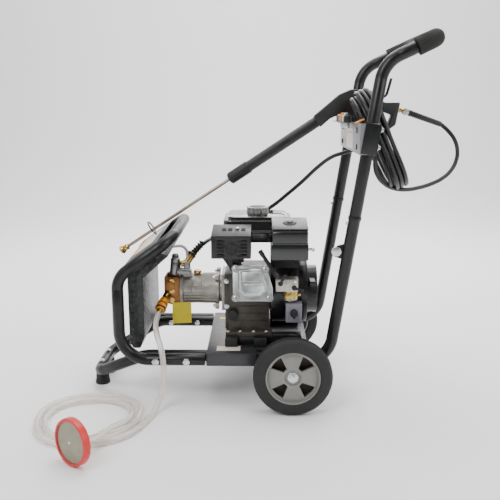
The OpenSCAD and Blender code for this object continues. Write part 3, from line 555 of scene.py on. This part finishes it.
def hose_curve(name, points, diameter, material):
    """A hose as one open curve through its points."""
    places = [trolley(*p) for p in points]
    curve = bpy.data.curves.new(name, "CURVE")
    curve.dimensions = "3D"
    curve.bevel_depth = diameter / 2 * MM
    curve.bevel_resolution = 5
    curve.resolution_u = 6
    curve.use_fill_caps = True
    spline = curve.splines.new("BEZIER")
    spline.bezier_points.add(len(places) - 1)
    for point, place in zip(spline.bezier_points, places):
        point.co = place
        point.handle_left_type = point.handle_right_type = "AUTO"
    curve.materials.append(material)
    made = bpy.data.objects.new(name, curve)
    bpy.context.collection.objects.link(made)
    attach(made, "root")
    return made


pressure_hose = hose_curve("pressure_hose", hose_points, HOSE_D, hose_rubber)
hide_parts("pressure_hose_run", "pressure_hose_coil", "pressure_hose_lead")


def length_of(points):
    return sum((Vector(b) - Vector(a)).length for a, b in zip(points, points[1:])) * MM


print("pressure hose length", round(length_of(hose_points), 3))

# %% [markdown]
# The suction hose is clear soft PVC. It hangs from the orange coupling, meets the floor in front of
# the trolley, goes round twice and ends at the red filter, which stands on its edge.

# %% The suction hose
SUCTION_D = 15.0
suction_points = [(-354, -94, 221), (-357, -124, 202), (-350, -153, 180), (-337, -180, 155),
                  (-329, -200, 126), (-327, -209, 92), (-331, -214, 58), (-339, -221, 30), (-348, -240, 12),
                  (-358, -276, 8), (-372, -322, 8), (-395, -364, 8), (-432, -394, 8), (-478, -409, 8),
                  (-526, -411, 8), (-570, -396, 8), (-603, -364, 8), (-622, -320, 8), (-632, -270, 8),
                  (-626, -222, 8), (-600, -182, 8), (-558, -158, 8), (-508, -149, 8), (-460, -153, 8),
                  (-418, -176, 8), (-392, -214, 8), (-384, -262, 8), (-389, -308, 8), (-411, -348, 8),
                  (-448, -379, 8), (-494, -391, 8), (-540, -384, 8), (-578, -357, 8), (-603, -315, 8),
                  (-611, -266, 8), (-597, -218, 8), (-560, -188, 8), (-514, -176, 8), (-468, -179, 8),
                  (-429, -203, 8), (-407, -242, 8), (-405, -286, 10), (-417, -332, 20), (-436, -376, 27),
                  (-451, -412, 30), (-463, -444, 40), (-474, -466, 50)]
suction_hose = hose_curve("clear_suction_hose", suction_points, SUCTION_D, clear_pvc)
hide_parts("suction_hose")
print("suction hose length", round(length_of(suction_points), 3))

# %% [markdown]
# ## The trolley
# Tube, sheet and fasteners keep the CAD shapes with eased edges. The grip's foam is rounded where it
# ends.

# %% Tube, sheet and fasteners
for node, material, radius in (
        ("main_frame", powder_coat, 0.5), ("front_guard", powder_coat, 0.5),
        ("handle_tube", powder_coat, 0.5), ("front_plate", black_paint, 1.0),
        ("engine_deck", sheet_paint, 0.8), ("engine_rails", black_paint, 1.0),
        ("frame_feet", foot_rubber, 2.0), ("fasteners", zinc, 0.5), ("wire_hooks", powder_coat, 0.3),
        ("axle", zinc, 0.8), ("handle_grip", foam_rubber, 2.5)):
    eased(node, material, radius)

# %% [markdown]
# A wheel is a tyre with grooves round its tread and a raised ring on its wall, on a moulded rim with
# four windows. Ribs stand between the windows, a closed web lies behind them in a dark brown that is
# painted shade, and a zinc cap covers the hub. The drawing's Z points outwards, so one drawing serves
# both sides.

# %% Wheels
wheel_width = 48
hub_radius = 20


def wheel_place(side):
    face = low("tyre_near").y if side < 0 else high("tyre_far").y
    return tilted((axle_x, face, axle_z), side * math.pi / -2) @ shift(0, 0, -wheel_width)


def tyre(side, name):
    wall = [(69, 4), (72, 1.2), (77, 0.6), (80, 1.8), (83, 1.8), (86, 2.6), (92, 3.4), (96, 6),
            (98.6, 11), (99.6, 15)]
    groove = ((99.9, -2.2), (97.6, -1.4), (97.6, 1.4), (99.9, 2.2))
    grooves = [(r, z + across) for z in (18, 24, 30) for r, across in groove]
    profile = wall + grooves + [(r, wheel_width - z) for r, z in reversed(wall)] + wall[:1]
    whole = bmesh.new()
    join(whole, turned(profile, 96), wheel_place(side))
    piece("tyre_" + name + "_finished", whole, "wheel_" + name, [tyre_rubber], "tyre_" + name, 40)


def window(centre_angle, inner, outer, half_inner, half_outer):
    """The outline of one window: a wedge with a pointed outer end."""
    points = [(inner, -half_inner), (outer - 3, -half_outer), (outer, 0), (outer - 3, half_outer),
              (inner, half_inner)]
    c, s = math.cos(centre_angle), math.sin(centre_angle)
    return [(c * x - s * y, s * x + c * y) for x, y in points]


def rim_disc():
    """The rim's face, filled round its windows and its hub hole and then given a thickness."""
    disc = bmesh.new()
    bmesh.ops.create_circle(disc, cap_ends=False, segments=96, radius=64)
    holes = [window(math.radians(90 * k + 48), 26, 63, 6, 20) for k in range(4)]
    holes.append([(hub_radius * math.cos(math.tau * k / 48), hub_radius * math.sin(math.tau * k / 48))
                  for k in range(48)])
    for hole in holes:
        ring = [disc.verts.new((x, y, 0)) for x, y in hole]
        for a, b in zip(ring, ring[1:] + ring[:1]):
            disc.edges.new((a, b))
    filled = bmesh.ops.triangle_fill(disc, use_beauty=True, edges=disc.edges)["geom"]
    faces = [f for f in filled if isinstance(f, bmesh.types.BMFace)]
    raised = bmesh.ops.extrude_face_region(disc, geom=faces)["geom"]
    bmesh.ops.translate(disc, vec=(0, 0, 10), verts=verts_of(raised))
    bmesh.ops.translate(disc, vec=(0, 0, 25.5), verts=disc.verts)
    bmesh.ops.recalc_face_normals(disc, faces=disc.faces)
    return ease(disc, 1.2, 2, 60)


def rim(side, name):
    place = wheel_place(side)
    whole = bmesh.new()
    join(whole, turned([(60, 33), (65, 36), (65, 43), (68.5, 43), (69, 41), (69, 3), (65, 0), (65, 28),
                        (60, 33)], 96), place)
    join(whole, turned([(12.2, 30.6), (12.2, 33), (19, 33), (20.5, 31), (20.5, 2), (7, 0.5), (7, 30.6),
                        (12.2, 30.6)]), place)
    join(whole, rim_disc(), place)
    for k in range(4):
        spoke = place @ Matrix.Rotation(math.radians(90 * k + 93), 4, "Z")
        join(whole, block((34, 4, 9), 1.0), spoke @ shift(40, 0, 29))
    # The web behind the windows carries the painted shade seen through them.
    join(whole, turned([(20, 9), (66, 9), (66, 11), (20, 11), (20, 9)], 64), place, 2)
    join(whole, turned([(0, 36.5), (6, 36.5), (7.5, 35.4), (13, 35), (14, 33.6), (14, 31)], 48), place, 1)
    piece("rim_" + name + "_finished", whole, "wheel_" + name, [rim_plastic, zinc, painted_window_shade],
          "rim_" + name, 36)


for side, name in ((-1, "near"), (1, "far")):
    tyre(side, name)
    rim(side, name)

# %% [markdown]
# The accessory panel keeps the CAD's folded sheet. Its screws, a blank label and a small orange tab
# are added, and the five nozzles get knurled collars and tips in their five colours.

# %% The accessory panel
panel_edge = high("accessory_panel").y
panel_low, panel_high = low("accessory_panel"), high("accessory_panel")
eased("accessory_panel", panel_paint, 0.8)
front = panel_low.x + 34 * MM
lean_angle = math.radians(8.7)
lean = Vector((math.sin(lean_angle), 0, math.cos(lean_angle)))
level = Vector((math.cos(lean_angle), 0, -math.sin(lean_angle)))


def on_panel(x, y, z):
    """A point in mm from the foot of the panel's front sheet."""
    return Vector((front + x * MM, y * MM, panel_low.z + z * MM))


card, tab, stripe, cheek_black, screw = range(5)
extras = bmesh.new()
join(extras, block((0.6, 120, 52), 0.2, 1), placing(on_panel(-0.4, -10, 32)), card)
join(extras, block((0.7, 100, 2), 0.2, 1), placing(on_panel(-0.6, -10, 47)), stripe)
tab_place = Vector((front + 6 * MM, -134 * MM, panel_high.z - 11 * MM))
join(extras, block((22, 34, 3), 1.0), placing(tab_place, (1, 0, 0.5)), tab)
for y in (-140, 140):
    for z in (16, 56):
        join(extras, turned([(0, 3), (6, 3), (7.4, 1.6), (7.4, 0)], 32),
             upright(on_panel(0, y, z), (-1, 0, 0)), cheek_black)
for side in (-1, 1):
    foot = on_panel(26.2, side * (panel_edge / MM + 2.2), 37)
    join(extras, block((38, 2.4, 73), 1.0), placing(foot, level), cheek_black)
    socket = foot - lean * 17 * MM + Vector((0, -side * 17 * MM, 0))
    join(extras, bar(34, 36, 3, 40), upright(socket, lean), cheek_black)
    for z in (-20, 22):
        head = foot + lean * z * MM + Vector((21, -side * 12, 0)) * MM
        bolt(extras, head, (1, 0, -0.15), 9, 6, screw)
piece("panel_labels_and_cheeks", extras, "root", [label_white, label_orange, label_red, cleaner_black, zinc])

# %% Spray nozzles
nozzle_line = low("spray_nozzles").x + 10 * MM
shelf = low("spray_nozzles").z + 15 * MM
plug = len(nozzle_plastics)
nozzles = bmesh.new()
for i in range(len(nozzle_plastics)):
    place = upright(Vector((nozzle_line, (-93 + 27 * i) * MM, shelf)), (0, 0, 1))
    collar = turned([(0, 0.2), (9.2, 0.2), (10, 1), (10, 4), (9.3, 4.6), (9.3, 12.4), (10, 13), (10, 16),
                     (9, 17), (7, 17.2), (6.6, 19), (5, 22.4), (2.4, 22.9), (2.2, 21), (0, 21)], 36)
    join(nozzles, collar, place, i)
    join(nozzles, cut_plate([(-10, -9), (3, -9), (7, 0), (3, 9), (-10, 9)], 15, 1.4), place, i)
    for k in range(12):
        knurl = place @ Matrix.Rotation(math.tau * k / 12, 4, "Z") @ shift(9.1, 0, 8.5)
        join(nozzles, block((1.2, 1.2, 7), 0.3, 1), knurl, i)
    join(nozzles, bar(14.6, 11.4, 0.6), place @ shift(0, 0, -14.8), plug)
piece("spray_nozzles_finished", nozzles, "root", nozzle_plastics + [zinc], "spray_nozzles")

# %% [markdown]
# ## The engine
# Castings keep the CAD shapes, with the radius that a die leaves. The tank, the air cleaner and the
# starter cover are smooth black, with the seams, lids and plates that such covers have.

# %% Engine castings and covers
# The switch box's grey is a painted reflection.
for node, material, radius in (
        ("crankcase", crank_cast, 2.0), ("side_cover", crank_cast, 1.6), ("cylinder_head", head_cast, 0.6),
        ("muffler", heat_steel, 1.0), ("fuel_cap", cap_metal, 1.0), ("blower_housing", cleaner_black, 1.5),
        ("recoil_cover", cleaner_black, 1.5), ("flywheel", iron, 0.5), ("crankshaft", iron, 0.4),
        ("throttle_lever", zinc, 0.5), ("choke_lever", matt_black, 0.6), ("fuel_lever", matt_black, 0.6),
        ("engine_switch", matt_black, 0.8), ("switch_box", switch_grey, 2.0), ("oil_caps", matt_black, 1.2),
        ("pump_adapter", pump_cast, 1.5), ("snap_near", zinc, 0.8), ("snap_far", zinc, 0.8),
        ("carburetor", zinc_carb, 1.6), ("fuel_tank", gloss_black, 1.4), ("muffler_guard", guard_paint, 1.0),
        ("air_cleaner", gloss_black, 2.6)):
    eased(node, material, radius)

# %% [markdown]
# The valve cover leans with the cylinder. Its raised centre has a ledge, and four eared bolts hold
# its flange to the head.

# %% Valve cover
cylinder_lean = math.radians(20)
cylinder_axis = Vector((0, -math.cos(cylinder_lean), math.sin(cylinder_lean)))
cover_place = placing(engine(76, 0, 0) + cylinder_axis * 148 * MM, (1, 0, 0), cylinder_axis)
flange_outline = [(-50, -40), (-44, -47), (42, -47), (52, -38), (52, -14), (36, 40), (28, 46), (-46, 46),
                  (-52, 40)]
dome_outline = [(-36, -20), (-20, -36), (20, -36), (36, -20), (36, -2), (21, 35), (-33, 35), (-38, 29)]
cover = bmesh.new()
join(cover, cut_plate(flange_outline, 5, 1.4), cover_place)
dome = cut_plate(dome_outline, 17)
top = max(dome.faces, key=lambda f: f.calc_center_median().z if abs(f.normal.z) > 0.9 else -1)
bmesh.ops.inset_region(dome, faces=[top], thickness=3.5, depth=3.4)
bmesh.ops.inset_region(dome, faces=[top], thickness=3.0, depth=0)
bmesh.ops.inset_region(dome, faces=[top], thickness=0.8, depth=-1.4)
ease(dome, 1.2, 3, 20)
join(cover, dome, cover_place)
join(cover, block((46, 26, 3.4), 1.5), cover_place @ shift(-3, 14, 20.6))
join(cover, block((44, 4, 3.2), 1.2), cover_place @ shift(-1, -6, 20.4))
for x, y in ((-43, -38), (43, -38), (-44, 37), (33, 36)):
    ear = turned([(0, 0), (10.4, 0), (10.4, 6), (9.2, 7.4), (0, 7.4)], 32)
    join(cover, ear, cover_place @ shift(x, y, 0))
    join(cover, bar(5, 11.5, 0.8, 6), cover_place @ shift(x, y, 7), 1)
piece("valve_cover_finished", cover, "root", [bright_cast, zinc], "valve_cover", 34)

# %% [markdown]
# Small parts on the covers: the air cleaner's lid line, dial and wing nut, the tank's blank plates and
# rim, the muffler guard's hexagon and slots, the carburetor's bowl and its linkage. The guard's hexagon
# and slots are near-black sheets that paint the shade in its openings. They are one piece in many
# materials, so a short function finds each material's slot.

# %% The piece that holds the engine's details
details = bmesh.new()
detail_slots = [gloss_black, lid_and_painted_sheen, matt_black, zinc, yellow_zinc, label_white, painted_slot_shade, brass,
                guard_paint, crank_cast]


def detail(part, place, material):
    join(details, part, place, detail_slots.index(material))


def detail_bolt(origin, axis):
    bolt(details, origin, axis, 8, 4, detail_slots.index(zinc))


# %% Air cleaner and tank
cleaner_up = (0, -0.168, 0.98)
detail(block((93, 3, 40), 1.2), placing(engine(171, -150, 134)), gloss_black)
# The lid and its line are lighter than the box: painted highlight where light falls on them.
detail(block((93.5, 2.2, 2.4), 0.6, 2), placing(engine(171, -150.3, 157)), lid_and_painted_sheen)
detail(block((92, 92, 3.2), 1.4), tilted(engine(171, -101, 199.6), math.radians(9.7)), lid_and_painted_sheen)
detail(turned([(0, 4), (16, 4), (18, 3), (19, 0)]), upright(engine(171, -100, 199.2), cleaner_up), matt_black)
detail(turned([(0, 8), (5, 8), (6, 7), (6, 2)]), upright(engine(171, -100, 200), cleaner_up), zinc)
detail(block((16, 3, 6), 1.2), placing(engine(171, -101, 207), (1, 0.3, 0)), zinc)
for x in (24, 154):
    detail(block((34, 22, 0.5), 0.2, 1), placing(engine(x, -8, 204)), label_white)
cap_top = Vector((middle("fuel_cap").x, middle("fuel_cap").y, high("fuel_cap").z))
detail(turned([(0, 1.2), (18, 1.2), (22, 0.4), (22.4, 0)]), upright(cap_top, (0, 0, 1)), matt_black)

# %% Muffler guard
# The hexagon and the slots are near-black sheets: painted shade in the guard's openings.
hexagon = [(17 * math.cos(math.tau * (k + 0.5) / 6), 17 * math.sin(math.tau * (k + 0.5) / 6))
           for k in range(6)]
frame_hexagon = [(x * 1.14, y * 1.14) for x, y in hexagon]
guard_front = tilted(engine(22.4, -150.2, 142), math.pi / 2)
detail(cut_plate(frame_hexagon, 1.2, 0.5, 2), guard_front, guard_paint)
detail(cut_plate(hexagon, 1.5, 0.4, 2), guard_front, painted_slot_shade)
for r in (3, 6.5, 10):
    detail(turned([(r, 1.4), (r + 1, 2.1), (r + 2, 1.4)]), guard_front, guard_paint)
for row in range(4):
    for x in (-4.7, 47.7):
        detail(block((20, 1.0, 4.6), 0.5, 2), placing(engine(x, -150.2, 124.5 + 12 * row)), painted_slot_shade)
guard_roof = tilted(engine(0, -105, 183.4), math.atan2(14, 88))
for x in (2, 18, 52):
    detail(block((11, 22, 1.2), 0.5, 2), guard_roof @ shift(x, 4, 0), painted_slot_shade)
detail(bar(4, 11, 0.6, 6), guard_roof @ shift(36, 8, 0), zinc)
detail(bar(52, 46, 0, 32, 30), upright(engine(16, -98, 119), (0.45, 0.12, -1)), guard_paint)

# %% Carburetor, mounts and crankcase
detail(turned([(0, 24), (17.6, 24), (18.6, 22.6), (18.6, 6), (15, 1.2), (6, 0), (0, 0)]),
       upright(engine(175, -112, 0.6), (0, 0, 1)), yellow_zinc)
detail(bar(8, 11, 0.8, 6), upright(engine(175, -112, -7), (0, 0, 1)), brass)
detail(bar(9, 8, 0.6, 6), upright(engine(193, -112, 12), (1, 0, 0)), brass)
for x in (146, 186):
    detail(turned([(0, 3), (3.6, 3), (4.6, 2), (4.6, 0)]), upright(engine(x, -130, 52), (0, -1, 0)), zinc)
detail(block((58, 2, 5), 0.8), placing(engine(176, -56.5, 66), (1, 0, -0.5)), zinc)
rail_z, case_z = [(low(node).z - crank.z) / MM for node in ("engine_rails", "crankcase")]
for x in (20, 96):
    detail(block((34, 30, 26), 3), placing(engine(x, -112, rail_z + 12)), matt_black)
for x in (10, 42, 78, 112):
    detail_bolt(engine(x, -100, case_z + 12), (0, 0, 1))
for x, z in ((6, 40), (6, -30), (116, 40)):
    detail_bolt(engine(x, -78, z), (0, -1, 0))
for k in range(3):
    detail(block((104, 2.5, 3), 1.0), placing(engine(64, -78.5, -30 - 20 * k)), crank_cast)
piece("engine_details", details, "root", detail_slots, None, 36)

# %% Spark plug boot
boot = bmesh.new()
start, stop = engine(94, -126, 134), engine(140, -138, 66)
reach = (stop - start).length / MM
join(boot, turned([(0, 0), (5.6, 0), (6, 3), (6, 14), (5, 18), (5, reach - 22), (6.6, reach - 18),
                   (7.2, reach - 3), (6, reach), (0, reach)], 32), upright(start, stop - start))
piece("spark_plug_boot", boot, "root", [hose_rubber], "spark_plug_cap")

# %% [markdown]
# ## The pump
# The pump's barrel is a turned casting with seams and cooling fins, its head is forged brass with
# valve caps and bolts, and the unloader is steel with a knob.

# %% Pump
for node, material, radius in (
        ("pump_head", bronze, 3.0), ("unloader_valve", valve_steel, 0.8), ("pump_fittings", brass, 0.6),
        ("inlet_collar", orange_plastic, 0.8), ("detergent_tank", tank_plastic, 2.5),
        ("detergent_tube", grey_tube, 0.3)):
    eased(node, material, radius)
barrel = bmesh.new()
barrel_place = upright(pump_face, (1, 0, 0))
join(barrel, turned([(0, 0), (44, 0), (45, 1.5), (45, 9), (43.4, 10), (41, 14), (40.4, 60), (42.6, 64),
                     (42.8, 98), (44.5, 101), (44.5, 108), (0, 109)], 72), barrel_place)
for k in range(4):
    join(barrel, block((92, 14, 3.2), 1.2), placing(pump(57, -37.5 + 1.6 * k * k, -5 - 9.5 * k)))
for x in (30, 64):
    seam = turned([(40.2, 0), (42.6, 0.8), (42.6, 3.2), (40.2, 4)], 64)
    join(barrel, seam, barrel_place @ shift(0, 0, x))
for x, width in ((20, 22), (48, 24), (80, 26)):
    join(barrel, block((width, 20, 3), 1.3), placing(pump(x, -34, 22), (1, 0, 0), (0, -0.8, 0.6)))
for side in (-1, 1):
    for z in (-1, 1):
        ear = turned([(0, 0), (9, 0), (9, 9), (8, 10), (0, 10)], 32)
        join(barrel, ear, upright(pump(99, 40 * side, 40 * z), (1, 0, 0)))
        bolt(barrel, pump(99, 40 * side, 40 * z), (-1, 0, 0), 8, 7, 1)
piece("pump_body_finished", barrel, "root", [pump_cast, zinc], "pump_body")

# %% Valve caps, unloader and the rings on its hose
trim = bmesh.new()
cap_brass, steel, rubber = 2, 3, 4
outlet = trolley(*run_to_coil[0])
for z in (-26, 0, 26):
    valve_cap = turned([(0, 4), (8, 4), (9, 3), (9, 0)], 6)
    join(trim, valve_cap, upright(pump(-21, -33, z), (0, -1, 0)), cap_brass)
join(trim, bar(34, 24, 2, 32), upright(pump(-16, -26, 46), (0.12, 0, 1)), steel)
knob = turned([(0, 14), (9, 14), (12, 11), (12, 3), (9, 0), (0, 0)])
join(trim, knob, upright(pump(-10, -30, 78), (0, 0, 1)), steel)
join(trim, block((46, 22, 18), 5), placing(pump(10, -22, 52), (1, 0, -0.1)), steel)
join(trim, block((18, 16, 30), 4), placing(pump(20, -18, 64)), steel)
for k in range(5):
    join(trim, turned([(8, 0), (10.4, 1), (10.4, 3), (8, 4)], 32),
         upright(outlet + Vector((5.2, 3.4, 5.6)) * k * MM, (0.62, 0.4, 0.67)), rubber)
join(trim, turned([(0, 0), (9, 0), (9, 3), (8, 4), (6.4, 40), (0, 40)], 32),
     upright(outlet, (0.66, 0.4, 0.64)), rubber)
join(trim, turned([(10, 0), (13, 1), (13, 6), (10, 7)], 32), upright(trolley(-274, -4, 359), (0.6, 0.5, 0.6)),
     rubber)

# %% Rings on the inlet collar
collar_rings = bmesh.new()
inlet_run = trolley(*suction_points[0]) - trolley(-341, -48, 248)
for along, r in ((-1, 14.6), (12, 15.2)):
    join(collar_rings, turned([(r - 2, 0), (r, 0.8), (r, 3.6), (r - 2, 4.4)], 48),
         upright(middle("inlet_collar") + inlet_run.normalized() * along * MM, inlet_run))
piece("inlet_collar_rings", collar_rings, "hose_collar", [matt_black])
piece("pump_bolts_and_rings", trim, "root", [zinc, pump_cast, brass, valve_steel, matt_black])

# %% [markdown]
# ## Gun, lance and hose ends
# The gun keeps its outline with a moulding's radius. Ribs round the sleeve and the strain reliefs are
# rings, made by a loop.

# %% Gun and lance
for node, material, radius in (("gun_body", gun_plastic, 3.5), ("gun_trigger", matt_black, 1.2),
                               ("lance_sleeve", gun_plastic, 0.8), ("lance_tube", lance_steel, 0.3),
                               ("tip_socket", brass, 0.5), ("tip_collar", brass, 0.6)):
    eased(node, material, radius)
sleeve_middle = Vector((middle("lance_sleeve").x, 50 * MM, middle("lance_sleeve").z))
sleeve_start = sleeve_middle - lance_dir * 142.5 * MM
rings = bmesh.new()
for k in range(12):
    join(rings, turned([(16.6, 0), (17.6, 0.8), (17.6, 2.2), (16.6, 3)], 40),
         upright(sleeve_start + lance_dir * (10 + 4.6 * k) * MM, lance_dir))
piece("lance_sleeve_ribs", rings, "root", [gun_plastic])

# %% Hose end at the gun
relief = bmesh.new()
end = trolley(*coil_to_gun[-1])
port = trolley(317.5, 49.5, 744)
along_relief = end - port
steps = along_relief.length / MM
join(relief, turned([(0, 0), (8.4, 0), (8.4, 6), (7.6, 7), (7.2, steps - 2), (6.4, steps), (0, steps)], 32),
     upright(port, along_relief))
for k in range(int(steps / 5) - 2):
    r = 8.6 - 1.4 * k * 5 / steps
    join(relief, turned([(r - 1, 0), (r, 0.6), (r, 2.2), (r - 1, 2.8)], 32),
         upright(port + along_relief * ((8 + 5 * k) / steps), along_relief))
swivel_start = trolley(291.5, 50, 751)
swivel_place = upright(swivel_start, port - swivel_start)
join(relief, turned([(0, -0.5), (6.5, -0.5), (6.5, 4), (5.2, 5), (5.2, 9), (7.6, 10), (7.6, 13), (0, 13)], 36),
     swivel_place, 2)
join(relief, turned([(0, 12.5), (9.8, 12.5), (9.8, 20), (8.6, 21), (8.6, 26), (0, 26)], 6), swivel_place, 1)
piece("hose_end_finished", relief, "root", [hose_rubber, zinc, brass], "hose_end")

# %% [markdown]
# ## Suction filter
# A red ring holds a dished disc of fine mesh. The mesh has a small bright rivet at its centre.

# %% Suction filter
outward = -Vector((0.62, 0.79, 0)).normalized()
outward = Vector((outward.x, outward.y, 0.06)).normalized()
port_place = upright(trolley(-477, -471, 53), outward)
strainer = bmesh.new()
join(strainer, turned([(0, -7.8), (9.8, -7.8), (9.8, 0), (19, 0.4), (20, 6), (40, 6.4), (50, 7), (53, 9),
                       (53.4, 12), (53.4, 21), (52.4, 25), (50, 25.8), (47, 25.4), (45.6, 23)], 96),
     port_place, 0)
join(strainer, turned([(46, 22.4), (36, 23.0), (20, 24.0), (5, 24.8), (0, 24.8)], 96), port_place, 1)
join(strainer, turned([(0, 25.9), (2, 25.8), (3, 24.8)], 24), port_place, 2)
piece("suction_filter_finished", strainer, "root", [red_plastic, mesh_steel, zinc], "suction_filter")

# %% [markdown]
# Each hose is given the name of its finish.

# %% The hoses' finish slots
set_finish(pressure_hose, "rubber")
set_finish(suction_hose, "clear_hose")

# %% [markdown]
# ## Blank labels and the hang tag
# Where the real machine carries print, these are blank cards and strips of plain colour.

# %% Labels and tag
yellow, white, orange, red = range(4)
labels = bmesh.new()
deck_top = high("engine_deck").z
join(labels, block((52, 1, 60), 0.3, 1), placing(trolley(-298, -33, 203), (1, 0.15, 0)), yellow)
for size, x, y, colour in (((62, 34, 0.4), -165, -136, white), ((66, 3, 0.6), -163, -117, red),
                           ((26, 16, 0.4), -190, 120, yellow)):
    join(labels, block(size, 0.2, 1), placing(Vector((axle_x + x * MM, y * MM, deck_top))), colour)
plate_slope = math.radians(35.8)
up_plate = Vector((math.cos(plate_slope), 0, math.sin(plate_slope)))
off_plate = Vector((-up_plate.z, 0, up_plate.x))


def on_plate(up, across, off):
    """A placing in mm from the front plate's middle: up its slope, across it and off its face."""
    shifted = up_plate * up + Vector((0, across, 0)) + off_plate * off
    return placing(middle("front_plate") + shifted * MM, up_plate, off_plate)


join(labels, block((56, 200, 0.5), 0.2, 1), on_plate(0, 0, 1.9), white)
join(labels, block((18, 200, 0.7), 0.2, 1), on_plate(-38, 0, 1.9), orange)
piece("blank_labels", labels, "root", [label_yellow, label_white, label_orange, label_red])

# %% [markdown]
# Six short welded tabs hold the front plate between the guard's tubes.

# %% Front plate welds
tabs = bmesh.new()
for side in (-1, 1):
    for up in (-32, 0, 32):
        join(tabs, block((13, 12, 3), 1.0), on_plate(up, side * 163, -1.2))
piece("front_plate_welds", tabs, "root", [black_paint])

# %% [markdown]
# ## Finish slots
# Each made piece that rides on a body and has no finish slot yet is given one, named from its first
# material, or black plastic.

# %% Finish slots
names_of_slots = {
    powder_coat: "powder_black", sheet_paint: "deck_paint", black_paint: "powder_black", foam_rubber: "foam",
    foot_rubber: "rubber", hose_rubber: "rubber", zinc: "zinc", tyre_rubber: "tyre", rim_plastic: "rim_grey",
    crank_cast: "dark_cast", head_cast: "dark_cast", bright_cast: "cast_aluminium",
    pump_cast: "cast_aluminium", zinc_carb: "cast_aluminium", heat_steel: "muffler_steel",
    guard_paint: "guard_paint", gloss_black: "tank_gloss", iron: "iron", valve_steel: "iron",
    switch_grey: "switch_grey", bronze: "brass", brass: "brass", orange_plastic: "orange_plastic",
    grey_tube: "grey_tube", lance_steel: "lance_steel", red_plastic: "filter_red",
    nozzle_plastics[0]: "nozzle_plastic"}
for made in [o for o in bpy.data.objects if o.type == "MESH" and "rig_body" in o and "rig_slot" not in o]:
    if made.data.materials and made.name not in frame["nodes"]:
        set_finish(made, names_of_slots.get(made.data.materials[0], "black_plastic"))
